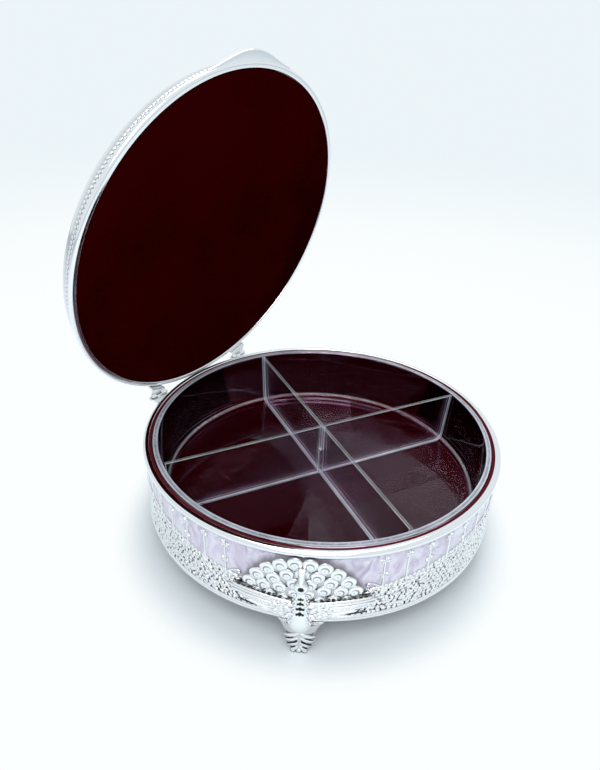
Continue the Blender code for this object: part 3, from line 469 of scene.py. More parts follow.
def boss(relief, place, centre, size, turn, profile, unit, base, sides=14, taper=0.0):
    """A raised round or drop shape. Its profile lists (share of size, rise in units, mark)."""
    points = [place(centre[0], base + profile[0][1] * unit, centre[1])]
    marks = [profile[0][2]]
    faces = []
    for ring, (share, rise, mark) in enumerate(profile[1:]):
        for k in range(sides):
            angle = 2 * math.pi * k / sides
            local_up = share * size[1] * math.sin(angle)
            local_across = share * size[0] * math.cos(angle) * (1 - taper * local_up / size[1])
            across = centre[0] + local_across * math.cos(turn) - local_up * math.sin(turn)
            height = centre[1] + local_across * math.sin(turn) + local_up * math.cos(turn)
            points.append(place(across, base + rise * unit, height))
            marks.append(mark)
        first = 1 + ring * sides
        for k in range(sides):
            after = (k + 1) % sides
            if ring == 0:
                faces.append((0, first + k, first + after))
            else:
                inner = first - sides
                faces.append((inner + k, first + k, first + after, inner + after))
    last = 1 + (len(profile) - 2) * sides
    back = len(points)
    points.append(place(centre[0], base - ROOT_DEPTH, centre[1]))
    marks.append(profile[-1][2])
    faces += [(last + k, back, last + (k + 1) % sides) for k in range(sides)]
    relief.add(points, faces, marks)


def smooth_row(stations, steps):
    """Values between stations on one smooth curve, each station a tuple of the same length."""
    rows = []
    last = len(stations) - 1
    for i in range(last):
        around = (stations[max(i - 1, 0)], stations[i], stations[i + 1], stations[min(i + 2, last)])
        for t in shares(steps)[:-1]:
            rows.append(tuple(
                (2 * b + (c - a) * t + (2 * a - 5 * b + 4 * c - d) * t * t
                 + (3 * b - a - 3 * c + d) * t ** 3) / 2
                for a, b, c, d in zip(*around)
            ))
    rows.append(tuple(stations[-1]))
    return rows


def wall_place(middle_angle):
    """Places (across, out, height) on the wall about a direction."""
    def place(across, out, height):
        angle = middle_angle + across / WALL_RADIUS
        radius = wall_radius(height) + out
        return (radius * math.cos(angle), radius * math.sin(angle), height)
    return place


# Body casting and scale belt

BODY_SEGMENTS = 300
BELT_START = 2 * LOWER_BEAD_RADIUS + 2 * MIDDLE_BEAD_RADIUS
BELT_GROUND = BELT_RELIEF - ROOT_DEPTH
DEEP_MARK = 0.9
RIM_BEAD_STEPS = 20
EDGE_STEPS = 8


def rim_bead(height):
    """The bead that the body and the lid have at their meeting edges, centred at a height."""
    centre = (RIM_INNER_RADIUS + RIM_BEAD_RADIUS, height)
    return arc(centre, RIM_BEAD_RADIUS, -math.pi / 2, math.pi / 2, RIM_BEAD_STEPS)


def body_profile(angle):
    lower_centre = (wall_radius(0) + BELT_RELIEF - LOWER_BEAD_RADIUS, LOWER_BEAD_RADIUS)
    middle_height = 2 * LOWER_BEAD_RADIUS + MIDDLE_BEAD_RADIUS
    middle_centre = (wall_radius(middle_height) + BELT_RELIEF - MIDDLE_BEAD_RADIUS / 2, middle_height)
    edge_centre = (RIM_INNER_RADIUS + RIM_EDGE_RADIUS, BODY_HEIGHT - RIM_EDGE_RADIUS)
    edge = belt_top(angle)
    ground = wall_radius(BELT_START) + BELT_GROUND
    edge_ground = wall_radius(edge) + BELT_GROUND
    return [
        (LEDGE_INNER_RADIUS, 0, 0.3),
        *marked(arc(lower_centre, LOWER_BEAD_RADIUS, -math.pi / 2, math.pi / 2, 12)),
        (ground, 2 * LOWER_BEAD_RADIUS + FIT_GAP, DEEP_MARK),
        *marked(arc(middle_centre, MIDDLE_BEAD_RADIUS, -math.pi / 3, math.pi / 3, EDGE_STEPS)),
        (ground, BELT_START + FIT_GAP, DEEP_MARK),
        (edge_ground, edge - FIT_GAP, 0.22),
        (edge_ground - FIT_GAP, edge, 0.4),
        (wall_radius(edge), edge, 0.6),
        (wall_radius(RIM_BEAD_BOTTOM), RIM_BEAD_BOTTOM, 0.6),
        *marked(rim_bead(BODY_HEIGHT - RIM_BEAD_RADIUS)),
        *marked(arc(edge_centre, RIM_EDGE_RADIUS, math.pi / 2, math.pi, EDGE_STEPS)),
        (wall_radius(LEDGE_THICKNESS) - WALL_THICKNESS, LEDGE_THICKNESS, 0.4),
        (LEDGE_INNER_RADIUS, LEDGE_THICKNESS, 0.4),
    ]


SCALE_WIDTH = 3.1 * MM
SCALE_PITCH = 2.5 * MM
SCALE_RISE = 0.75 * MM
SCALE_PROFILE = (
    (0.0, 0.80, 0.0), (0.30, 1.0, 0.0), (0.62, 0.85, 0.0), (0.88, 0.45, 0.0), (1.08, 0.0, 0.42),
)
SCALE_LEAN = math.radians(50)
SCALE_LEAN_SPREAD = math.radians(38)
SCALE_LEAN_SHARPNESS = 3
SCALE_SHIFT_SHARE = 0.26
SCALE_LIFT_SHARE = 0.25
SCALE_WIDTH_SHARES = (0.28, 0.46)
SCALE_HEIGHT_SHARES = (0.55, 0.98)
PIT_CHANCE = 0.8
PIT_SIZE = 0.5 * MM
PIT_RISE = 0.1 * MM
PIT_PROFILE = ((0.0, 0.0, 1.0), (0.7, 0.2, 1.0), (1.0, -1.0, 1.0))
PIT_DROP_SHARES = (-0.1, 0.3)
PIT_WIDTH_SHARES = (0.7, 1.3)
PIT_HEIGHT_SHARES = (0.9, 1.6)
PIT_RELIEF_SHARE = 0.55


def even_row(width):
    """Number and pitch of pieces that fill the way round the wall."""
    around = 2 * math.pi * WALL_RADIUS
    count = round(around / width)
    return count, around / count


def make_scales(relief):
    """Staggered rows of small scales that lean away from the feet, with dark pits between them."""
    chance = random.Random(11)
    wall = wall_place(0.0)
    columns, spacing = even_row(SCALE_WIDTH)
    row = 0
    height = BELT_START + SCALE_PITCH / 2
    while height < BELT_MEAN_HEIGHT + BELT_WAVE_HEIGHT:
        for k in range(columns):
            across = spacing * (k + (row % 2) / 2 + chance.uniform(-SCALE_SHIFT_SHARE, SCALE_SHIFT_SHARE))
            angle = across / WALL_RADIUS
            if height > belt_top(angle) - SCALE_PITCH / 3:
                continue
            side = SCALE_LEAN_SHARPNESS * math.sin(FOOT_COUNT * (angle - FIRST_FOOT_ANGLE))
            lean = chance.uniform(-SCALE_LEAN_SPREAD, SCALE_LEAN_SPREAD)
            lean -= SCALE_LEAN * max(-1.0, min(1.0, side))
            width = SCALE_WIDTH * chance.uniform(*SCALE_WIDTH_SHARES)
            size = (width, SCALE_PITCH * chance.uniform(*SCALE_HEIGHT_SHARES))
            middle = height + SCALE_PITCH * chance.uniform(-SCALE_LIFT_SHARE, SCALE_LIFT_SHARE)
            centre = (across, middle)
            boss(relief, wall, centre, size, lean, SCALE_PROFILE, SCALE_RISE, BELT_GROUND, 8, 0.45)
            if chance.random() < PIT_CHANCE:
                pit = (across + spacing / 2, height - SCALE_PITCH * chance.uniform(*PIT_DROP_SHARES))
                width = PIT_SIZE * chance.uniform(*PIT_WIDTH_SHARES)
                size = (width, PIT_SIZE * chance.uniform(*PIT_HEIGHT_SHARES))
                base = BELT_GROUND + SCALE_RISE * PIT_RELIEF_SHARE
                boss(relief, wall, pit, size, lean, PIT_PROFILE, PIT_RISE, base, 6)
        height += SCALE_PITCH
        row += 1


LEAF_WIDTH = 3.0 * MM
LEAF_HALF_WIDTH = 1.3 * MM
LEAF_HALF_HEIGHT = 2.0 * MM
LEAF_HEIGHT_SHARES = (0.85, 1.15)
LEAF_LEAN_SPREAD = math.radians(25)
LEAF_DROP = 0.6 * MM
LEAF_SINK = 0.25 * MM
LEAF_RISE = 0.5 * MM
LEAF_PROFILE = ((0.0, 1.0, 0.0), (0.45, 1.3, 0.0), (0.8, 0.8, 0.1), (1.0, -0.2, 0.6))


def make_belt_edge(relief):
    """Small leaves that lie along the belt's upper edge."""
    chance = random.Random(5)
    wall = wall_place(0.0)
    count, spacing = even_row(LEAF_WIDTH)
    for k in range(count):
        across = spacing * k
        angle = across / WALL_RADIUS
        steepest = BELT_WAVE_HEIGHT * FOOT_COUNT / WALL_RADIUS
        slope = steepest * math.sin(FOOT_COUNT * (angle - FIRST_FOOT_ANGLE))
        turn = math.atan(slope) + chance.uniform(-LEAF_LEAN_SPREAD, LEAF_LEAN_SPREAD)
        size = (LEAF_HALF_WIDTH, LEAF_HALF_HEIGHT * chance.uniform(*LEAF_HEIGHT_SHARES))
        centre = (across, belt_top(angle) - LEAF_DROP)
        boss(relief, wall, centre, size, turn, LEAF_PROFILE, LEAF_RISE, BELT_GROUND - LEAF_SINK, 8, 0.4)


# Trees before the enamel

TREES_EACH_SIDE = 6
FIRST_TREE_ANGLE = math.radians(21.8)
TREE_SPACING_ANGLE = math.radians(6.95)
TREE_TOP_GAP = 0.8 * MM
SHORT_TREE_SHARE = 0.8
TREE_ROOT = 2.0 * MM
TREE_BASE = ENAMEL_THICKNESS + ROOT_DEPTH
TREE_BEND = 0.4 * MM
TREE_STEPS = 14
TRUNK_HALF_WIDTHS = (0.80 * MM, 0.50 * MM)
TRUNK_RISES = (0.75 * MM, 0.55 * MM)
# Tufts of leaves of every other tree: height as a share of the tree, and number
FULL_TUFTS = ((0.84, 7), (0.40, 5))
PLAIN_TUFTS = ((0.88, 5),)
TUFT_START_ANGLE = math.radians(-35)
TUFT_SPAN_ANGLE = math.radians(250)
TUFT_HALF_WIDTH = 1.8 * MM
TUFT_HALF_HEIGHT = 1.6 * MM
TUFT_TOP_GAP = 1.0 * MM
TWIG_TURN_SPREAD = 0.2
TWIG_SIZE = (0.75 * MM, 1.50 * MM)
TWIG_RISE = 0.5 * MM
TWIG_PROFILE = ((0.0, 1.0, 0.0), (0.6, 0.8, 0.0), (1.0, -0.4, 0.35))


def make_tree(relief, chance, angle, full):
    """A thin trunk with tufts of leaves."""
    place = wall_place(angle)
    root = belt_top(angle) - TREE_ROOT
    top = RIM_BEAD_BOTTOM - TREE_TOP_GAP * (1 if full else 1 + SHORT_TREE_SHARE)
    bend = chance.uniform(-TREE_BEND, TREE_BEND)
    trunk = []
    for t in shares(TREE_STEPS):
        size = (between(*TRUNK_HALF_WIDTHS, t), between(*TRUNK_RISES, t))
        trunk.append((bend * math.sin(math.pi * t), between(root, top, t), *size))
    strip(relief, place, trunk, TREE_BASE - FIT_GAP, 5, 0.35)
    for share, leaves in FULL_TUFTS if full else PLAIN_TUFTS:
        for j in range(leaves):
            spread = chance.uniform(-TWIG_TURN_SPREAD, TWIG_TURN_SPREAD)
            turn = TUFT_START_ANGLE + TUFT_SPAN_ANGLE * j / (leaves - 1) + spread
            height = between(root, top, share) + TUFT_HALF_HEIGHT * math.sin(turn)
            centre = (TUFT_HALF_WIDTH * math.cos(turn), min(height, RIM_BEAD_BOTTOM - TUFT_TOP_GAP))
            lean = turn - math.pi / 2
            boss(relief, place, centre, TWIG_SIZE, lean, TWIG_PROFILE, TWIG_RISE, TREE_BASE, 8, 0.4)


def make_trees(relief):
    """Trees on both sides of each foot, every other one fuller."""
    chance = random.Random(23)
    for foot in range(FOOT_COUNT):
        middle = FIRST_FOOT_ANGLE + 2 * math.pi * foot / FOOT_COUNT
        for side in (-1, 1):
            for k in range(TREES_EACH_SIDE):
                turn = side * (FIRST_TREE_ANGLE + TREE_SPACING_ANGLE * k)
                make_tree(relief, chance, middle + turn, k % 2 == 0)


def enamel_profile(angle):
    low = belt_top(angle) - FIT_GAP
    high = RIM_BEAD_BOTTOM + FIT_GAP
    front = FIT_GAP + ENAMEL_THICKNESS
    corners = ((low, FIT_GAP), (low, front), (high, front), (high, FIT_GAP))
    return marked([(wall_radius(height) + out, height) for height, out in corners])


def make_body():
    casting = turned(body_profile, BODY_SEGMENTS).mesh("body_casting")
    add_piece("body_casting", casting, POLISHED, "base", ("body_shell",))
    belt = Relief()
    make_scales(belt)
    make_belt_edge(belt)
    add_piece("scale_belt", belt.mesh("scale_belt"), SILVER, "base")
    trees = Relief()
    make_trees(trees)
    add_piece("band_trees", trees.mesh("band_trees"), SILVER, "base")
    band = turned(enamel_profile, BODY_SEGMENTS).mesh("enamel_ring")
    add_piece("enamel_ring", band, ENAMEL, "base", ("enamel_band",))


# Peacock feet: the spread tail

FAN_BACK_RELIEF = 2.7 * MM
FAN_HALF_WIDTH = 35.0 * MM
FAN_CENTRE_HEIGHT = 12.5 * MM
FAN_HEIGHT = RIM_BEAD_BOTTOM - FIT_GAP - FAN_CENTRE_HEIGHT
FAN_START_ANGLE = math.radians(-12)
FAN_SPAN_ANGLE = math.pi - 2 * FAN_START_ANGLE
PLATE_START_ANGLE = math.radians(9)
FEATHER_STEP_DEPTH = 0.7 * MM
FEATHER_LOBE_SHARE = 0.07
# Each tier of the fan's plate: its reach as a share of the fan, and its number of feathers
FAN_TIERS = ((0.54, 8), (0.77, 11), (0.99, 14))
TIER_SHARES = (0.35, 0.7, 0.93)
TIER_FOOT_SHARE = 1.2
BACK_SHARES = (1.0, 0.75, 0.5, 0.25)
FAN_HUB_SHARE = 0.27
FAN_HUB_MARK = 0.2
TIER_MARK = 0.3
TIER_EDGE_MARK = 0.1
FAN_STEPS = 168
FAN_DEEPEST = FAN_BACK_RELIEF + FEATHER_STEP_DEPTH * (len(FAN_TIERS) + 1)
# Each row of feathers: reach of its eyes as a share of the fan, number, size, and steps behind the front
FEATHER_ROWS = (
    (0.92, 14, 4.6 * MM, 2.0), (0.73, 11, 4.3 * MM, 1.2),
    (0.55, 8, 4.1 * MM, 0.5), (0.37, 6, 3.7 * MM, 0.0),
)
FEATHER_RISE = 0.85 * MM
FEATHER_WIDTH_SHARE = 0.94
PETAL_PROFILE = (
    (0.00, 0.80, 0.0), (0.45, 0.85, 0.0), (0.72, 0.80, 0.0), (0.90, 0.55, 0.0), (1.00, 0.10, 0.35),
    (1.07, -0.40, 0.8),
)
GROOVE_PROFILE = ((0.00, 0.92, 0.62), (0.42, 0.92, 0.62), (0.50, 0.92, 0.45), (0.58, 0.70, 0.0))
EYE_PROFILE = (
    (0.00, 1.05, 0.18), (0.14, 1.05, 0.12), (0.24, 1.20, 0.0), (0.36, 1.18, 0.0), (0.45, 0.98, 0.10),
    (0.49, 0.70, 0.35),
)
EYE_SHIFT_SHARE = 0.13
LOWEST_FEATHER = 18.5 * MM
LOWEST_FEATHER_SLOPE = 0.03
# Two barbs behind each feather's end: way back and way aside, as shares of the feather's size
BARB_BACK_SHARES = (0.75, 1.40)
BARB_ASIDE_SHARES = (0.30, 0.08)
BARB_HALF_WIDTH = 0.42 * MM
BARB_RISE = 0.7 * MM


def fan_point(angle, reach):
    across = reach * FAN_HALF_WIDTH * math.cos(angle)
    return across, FAN_CENTRE_HEIGHT + reach * FAN_HEIGHT * math.sin(angle)


def tier_reach(angle, tier_share, feathers):
    lobe = abs(math.sin(math.pi * feathers * (angle - FAN_START_ANGLE) / FAN_SPAN_ANGLE))
    return tier_share * (1 - FEATHER_LOBE_SHARE * (1 - math.sqrt(lobe)))


def make_fan(relief, place):
    """The spread tail's plate in three scalloped tiers."""
    sections = []
    for t in shares(FAN_STEPS):
        angle = between(PLATE_START_ANGLE, math.pi - PLATE_START_ANGLE, t)
        row = [(FAN_HUB_SHARE / 4, FAN_DEEPEST, FAN_HUB_MARK)]
        start = FAN_HUB_SHARE
        for k, (tier_share, feathers) in enumerate(FAN_TIERS):
            edge = tier_reach(angle, tier_share, feathers)
            out = FAN_DEEPEST - FEATHER_STEP_DEPTH * k
            foot = out - FEATHER_STEP_DEPTH * TIER_FOOT_SHARE
            row += [(between(start, edge, share), out, TIER_MARK) for share in TIER_SHARES]
            row += [(edge, out - FIT_GAP, TIER_EDGE_MARK), (edge, foot, DEEP_MARK)]
            start = tier_share
        row += [(edge * share, FAN_BACK_RELIEF, DEEP_MARK) for share in BACK_SHARES]
        section = []
        for reach, out, mark in row:
            across, height = fan_point(angle, reach)
            section.append((place(across, out, height), mark))
        sections.append(section)
    relief.loft(sections)


def make_feather_end(relief, place, centre, size, out):
    """A round feather end with a raised rim, a ringed eye that leaves a dark crescent, and two barbs."""
    away = math.hypot(centre[0], centre[1] - FAN_CENTRE_HEIGHT)
    ahead = (centre[0] / away, (centre[1] - FAN_CENTRE_HEIGHT) / away)
    turn = math.atan2(ahead[1], ahead[0]) - math.pi / 2

    def behind(back, aside):
        across = centre[0] - ahead[0] * back - ahead[1] * aside
        return (across, centre[1] - ahead[1] * back + ahead[0] * aside)

    petal_size = (size * FEATHER_WIDTH_SHARE, size)
    boss(relief, place, centre, petal_size, turn, PETAL_PROFILE, FEATHER_RISE, out, 26, -0.12)
    boss(relief, place, centre, (size, size), turn, GROOVE_PROFILE, FEATHER_RISE, out, 22)
    middle = behind(size * EYE_SHIFT_SHARE, 0.0)
    boss(relief, place, middle, (size, size), turn, EYE_PROFILE, FEATHER_RISE, out, 20)
    for side in (-1, 1):
        barb = []
        for t in shares(6):
            back = size * between(*BARB_BACK_SHARES, t)
            aside = side * size * between(*BARB_ASIDE_SHARES, t)
            barb.append((*behind(back, aside), BARB_HALF_WIDTH, BARB_RISE))
        strip(relief, place, barb, out, 4, 0.7)


def make_fan_feathers(relief, place):
    for reach, feathers, size, steps_back in FEATHER_ROWS:
        out = FAN_DEEPEST - FEATHER_STEP_DEPTH * steps_back
        for j in range(feathers):
            centre = fan_point(FAN_START_ANGLE + FAN_SPAN_ANGLE * (j + 0.5) / feathers, reach)
            if centre[1] >= LOWEST_FEATHER - LOWEST_FEATHER_SLOPE * abs(centre[0]):
                make_feather_end(relief, place, centre, size, out)


# Peacock feet: the wings

WING_LENGTH = 43.0 * MM
WING_ROOT = 5.0 * MM
# Each feather from the wing's lower edge up: reach, half width in the middle and at the tip
WING_FEATHERS = (
    (25.0 * MM, 1.25 * MM, 0.8 * MM), (31.5 * MM, 1.30 * MM, 0.9 * MM), (36.5 * MM, 1.30 * MM, 1.0 * MM),
    (40.5 * MM, 1.25 * MM, 1.0 * MM), (43.0 * MM, 1.20 * MM, 1.0 * MM), (39.5 * MM, 1.10 * MM, 0.9 * MM),
)
# Heights of the lowest and the highest feather, at the wing's root and at its tip
WING_ROOT_HEIGHTS = (9.4 * MM, 20.6 * MM)
WING_TIP_HEIGHTS = (11.4 * MM, 22.0 * MM)
WING_SAG = 0.9 * MM
WING_LEVEL_RANK = 0.6
WING_RISE_POWER = 1.3
# How far the wing stands out from the wall, at its root and at its tip
WING_RELIEFS = (7.2 * MM, 4.6 * MM)
BLADE_LENGTH = 39.0 * MM
BLADE_LOW_RANKS = (-0.04, 0.51)
BLADE_HIGH_RANK = 1.04
BLADE_SINK = 0.2 * MM
BLADE_EDGE = 0.4 * MM
BLADE_TIP_SHARE = 0.15
BLADE_TIP_DROP = 1.2 * MM
BLADE_MARK = 0.6
BLADE_BACK_MARK = 0.8
WING_FEATHER_RISES = (1.25 * MM, 0.90 * MM)
WING_FEATHER_SINK = 0.3 * MM
WING_FEATHER_LIFT = 0.22 * MM
WING_FEATHER_TIP_SHARE = 0.07
THINNEST_HALF_WIDTH = 0.15 * MM
LOWEST_TIP_SHARE = 0.35
COVERT_ROWS = 4
COVERTS_IN_ROW = 5
COVERT_RANK_START = 0.3
COVERT_RANK_STAGGER = 0.5
COVERT_RANK_SPREAD = 0.2
COVERT_SHARE_SPREAD = 0.03
COVERT_TURNS = (-0.1, 0.4)
COVERT_TAPER = -0.2
COVERT_START_SHARE = 0.04
COVERT_ROW_SHARE = 0.075
COVERT_HALF_LENGTHS = (1.8 * MM, 2.9 * MM)
COVERT_HALF_WIDTHS = (0.9 * MM, 1.3 * MM)
COVERT_RELIEF = 1.3 * MM
COVERT_ROW_DROP = 0.2 * MM
COVERT_RISE = 0.4 * MM
COVERT_PROFILE = ((0.0, 1.0, 0.0), (0.5, 0.9, 0.0), (0.85, 0.5, 0.08), (1.05, -1.0, 0.42))
DOT_COUNT = 9
DOT_START = 11.5 * MM
DOT_SPACING = 3.0 * MM
DOT_HALF_WIDTHS = (0.9 * MM, 1.6 * MM)
DOT_HALF_HEIGHTS = (0.5 * MM, 0.85 * MM)
DOT_LIFTS = (1.5 * MM, 2.0 * MM)
DOT_RELIEF = 0.5 * MM
DOT_TURN = -0.1
# Dark slit under the wing: way along and height at both ends
SLIT_REACHES = (21.0 * MM, 38.0 * MM)
SLIT_HEIGHTS = (7.2 * MM, 8.0 * MM)
SLIT_HALF_WIDTH = 0.42 * MM
SLIT_RELIEF = BELT_RELIEF + 0.75 * MM
SLIT_RISE = 0.15 * MM
SLIT_SPAN = (0.1, 0.9)


def wing_relief(across):
    return between(*WING_RELIEFS, across / WING_LENGTH)


def wing_line(rank, share, reach):
    """A point along one feather: rank goes from 0 at the wing's lower edge to 1 at its upper edge."""
    start = between(*WING_ROOT_HEIGHTS, rank)
    end = between(*WING_TIP_HEIGHTS, rank)
    sag = WING_SAG * math.sin(math.pi * share) * (WING_LEVEL_RANK - rank)
    return between(WING_ROOT, reach, share), between(start, end, share ** WING_RISE_POWER) - sag


def make_blade(relief, place, side):
    """The thin blade behind the wing's feathers."""
    sections = []
    for share in shares(20):
        across, low = wing_line(between(*BLADE_LOW_RANKS, share), share, BLADE_LENGTH)
        _, high = wing_line(BLADE_HIGH_RANK, share, BLADE_LENGTH)
        close = BLADE_TIP_DROP * max(0.0, share - 1 + BLADE_TIP_SHARE) / BLADE_TIP_SHARE
        low += close
        high -= close
        front = wing_relief(across) - BLADE_SINK
        corners = (
            (low, FAN_BACK_RELIEF, BLADE_BACK_MARK), (low, front - BLADE_EDGE, BLADE_MARK),
            (low + BLADE_EDGE, front, BLADE_MARK), (high - BLADE_EDGE, front, BLADE_MARK),
            (high, front - BLADE_EDGE, BLADE_MARK), (high, FAN_BACK_RELIEF, BLADE_BACK_MARK),
        )
        sections.append([(place(side * across, out, height), mark) for height, out, mark in corners])
    relief.loft(sections)


def make_wing(relief, place, side):
    """Long feathers side by side on a thin blade, with a dark slit under it and a dark row over it."""
    chance = random.Random(3)
    make_blade(relief, place, side)
    for j, (reach, middle_half, tip_half) in enumerate(WING_FEATHERS):
        feather = []
        for share in shares(24):
            across, height = wing_line(j / (len(WING_FEATHERS) - 1), share, reach)
            past = max(0.0, share - 1 + WING_FEATHER_TIP_SHARE) / WING_FEATHER_TIP_SHARE
            tip = math.sqrt(max(0.0, 1 - past * past))
            half = max(THINNEST_HALF_WIDTH, between(middle_half, tip_half, share) * tip)
            rise = between(*WING_FEATHER_RISES, share) * max(LOWEST_TIP_SHARE, tip)
            feather.append((side * across, height, half, rise))
        base = WING_FEATHER_LIFT * (j % 2) - WING_FEATHER_SINK
        strip(relief, lambda a, out, h: place(a, out + wing_relief(abs(a)), h), feather, base, 8, 0.62)
    for row in range(COVERT_ROWS):
        for j in range(COVERTS_IN_ROW):
            rank = j + COVERT_RANK_START + COVERT_RANK_STAGGER * (row % 2)
            rank += chance.uniform(-COVERT_RANK_SPREAD, COVERT_RANK_SPREAD)
            share = COVERT_START_SHARE + COVERT_ROW_SHARE * row
            share += chance.uniform(-COVERT_SHARE_SPREAD, COVERT_SHARE_SPREAD)
            across, height = wing_line(rank / COVERTS_IN_ROW, share, WING_LENGTH)
            size = (chance.uniform(*COVERT_HALF_LENGTHS), chance.uniform(*COVERT_HALF_WIDTHS))
            turn = side * chance.uniform(*COVERT_TURNS)
            base = wing_relief(across) + COVERT_RELIEF - COVERT_ROW_DROP * row
            boss(
                relief, place, (side * across, height), size, turn, COVERT_PROFILE, COVERT_RISE, base,
                taper=COVERT_TAPER * side,
            )
    for j in range(DOT_COUNT):
        across = DOT_START + DOT_SPACING * j
        _, height = wing_line(1.0, across / WING_LENGTH, WING_LENGTH)
        size = (chance.uniform(*DOT_HALF_WIDTHS), chance.uniform(*DOT_HALF_HEIGHTS))
        centre = (side * across, height + chance.uniform(*DOT_LIFTS))
        base = wing_relief(across) + DOT_RELIEF
        boss(relief, place, centre, size, side * DOT_TURN, PIT_PROFILE, PIT_RISE, base, 7)
    slit = []
    for t in shares(8):
        half = SLIT_HALF_WIDTH * swell(SLIT_SPAN, t)
        slit.append((side * between(*SLIT_REACHES, t), between(*SLIT_HEIGHTS, t), half, SLIT_RISE))
    strip(relief, place, slit, SLIT_RELIEF, 3, 1.0, 1.0)


# Peacock feet: the bird

BIRD_HEIGHT = 43.0 * MM
BIRD_LOWEST = -2.5 * MM
BIRD_HALF_WIDTH = 6.4 * MM
BIRD_DEPTH = 8.0 * MM
BIRD_BACK_RELIEF = FAN_BACK_RELIEF + FIT_GAP
BIRD_BACK_MARK = 0.8
# Bird from crest tip to belly: height, half width and depth as shares of its own three sizes
BIRD_STATION_SHARES = (
    (1.000, 0.14, 0.12), (0.985, 0.24, 0.20), (0.930, 0.26, 0.28), (0.860, 0.26, 0.32), (0.835, 0.42, 0.46),
    (0.800, 0.54, 0.62), (0.750, 0.58, 0.70), (0.700, 0.50, 0.62), (0.660, 0.42, 0.54), (0.550, 0.54, 0.66),
    (0.400, 0.74, 0.82), (0.260, 0.90, 0.96), (0.140, 1.00, 1.00), (0.060, 0.86, 0.88), (0.020, 0.62, 0.68),
    (0.000, 0.36, 0.44),
)
# Crest before the tail: height, half width and how far it stands out
CREST_STATIONS = (
    (35.5 * MM, 1.80 * MM, 9.4 * MM), (39.0 * MM, 1.75 * MM, 9.0 * MM), (43.0 * MM, 2.00 * MM, 8.6 * MM),
    (44.6 * MM, 1.95 * MM, 8.3 * MM), (45.0 * MM, 1.40 * MM, 8.0 * MM),
)
HEAD_HEIGHT = 33.0 * MM
HEAD_RADIUS = 3.9 * MM
HEAD_WIDTH_SHARE = 0.96
HEAD_SINK = 0.5 * MM
HEAD_RISE = 0.5 * MM
HEAD_PROFILE = (
    (0.0, 1.7, 1.0), (0.38, 1.7, 1.0), (0.44, 2.6, 0.1), (0.66, 3.0, 0.0), (0.90, 1.8, 0.0),
    (1.0, -1.6, 0.35),
)
# Dark marks on the breast: height, half width and half height
BREAST_MARKS = (
    (24.4 * MM, 1.10 * MM, 1.05 * MM), (21.5 * MM, 1.35 * MM, 1.45 * MM),
    (18.2 * MM, 1.65 * MM, 1.45 * MM), (14.8 * MM, 1.60 * MM, 1.70 * MM),
)
MARK_LIFT = 0.3 * MM
MARK_RISE = 0.1 * MM
MARK_PROFILE = ((0.0, 1.0, 1.0), (0.8, 0.8, 1.0), (1.0, -8.0, 1.0))
# Small feathers on the breast's sides and beside it: lowest height, row pitch, half width and half height
BREAST_ROWS = 9
BREAST_SIZES = (6.5 * MM, 2.2 * MM, 1.15 * MM, 1.45 * MM)
BREAST_NARROWING_SHARE = 0.055
# Way aside of the small feathers as a share of the breast's half width: first, next, and every other row
BREAST_START_SHARE = 0.56
BREAST_SPACING_SHARE = 0.26
BREAST_STAGGER_SHARE = 0.08
BREAST_TAPER = -0.3
BREAST_RISE = 0.2 * MM
BREAST_PROFILE = ((0.0, 1.1, 0.0), (0.5, 1.0, 0.0), (0.85, 0.6, 0.05), (1.05, -1.5, 0.22))
FLANK_ROWS = 6
FLANK_SIZES = (9.4 * MM, 2.1 * MM, 1.1 * MM, 1.45 * MM)
FLANK_START = 4.5 * MM
FLANK_SPACING = 1.75 * MM
FLANK_STAGGER = 0.85 * MM
FLANK_ROW_SHIFT = 0.28 * MM
FLANK_RELIEF = 1.5 * MM
FLANK_DROP = 0.35 * MM
FLANK_RISE = 0.5 * MM
FLANK_PROFILE = ((0.0, 1.3, 0.05), (0.55, 1.2, 0.1), (0.85, 0.6, 0.4), (1.0, -0.6, 0.85))


def oval(place, height, half, back, front, sides, back_mark):
    """A section round an upright piece on the wall, marked at its back."""
    section = []
    for turn in round_turns(sides):
        out = between(back, front, (1 + math.cos(turn)) / 2)
        section.append((place(half * math.sin(turn), out, height), max(0.0, -math.cos(turn)) * back_mark))
    return section


def bird_front(height):
    """How far the bird's breast stands out from the wall at a height."""
    share = (height - BIRD_LOWEST) / (BIRD_HEIGHT - BIRD_LOWEST)
    rows = sorted(smooth_row(BIRD_STATION_SHARES, 5))
    low, high = next((low, high) for low, high in zip(rows, rows[1:]) if share <= high[0])
    return BIRD_BACK_RELIEF + BIRD_DEPTH * between(low[2], high[2], (share - low[0]) / (high[0] - low[0]))


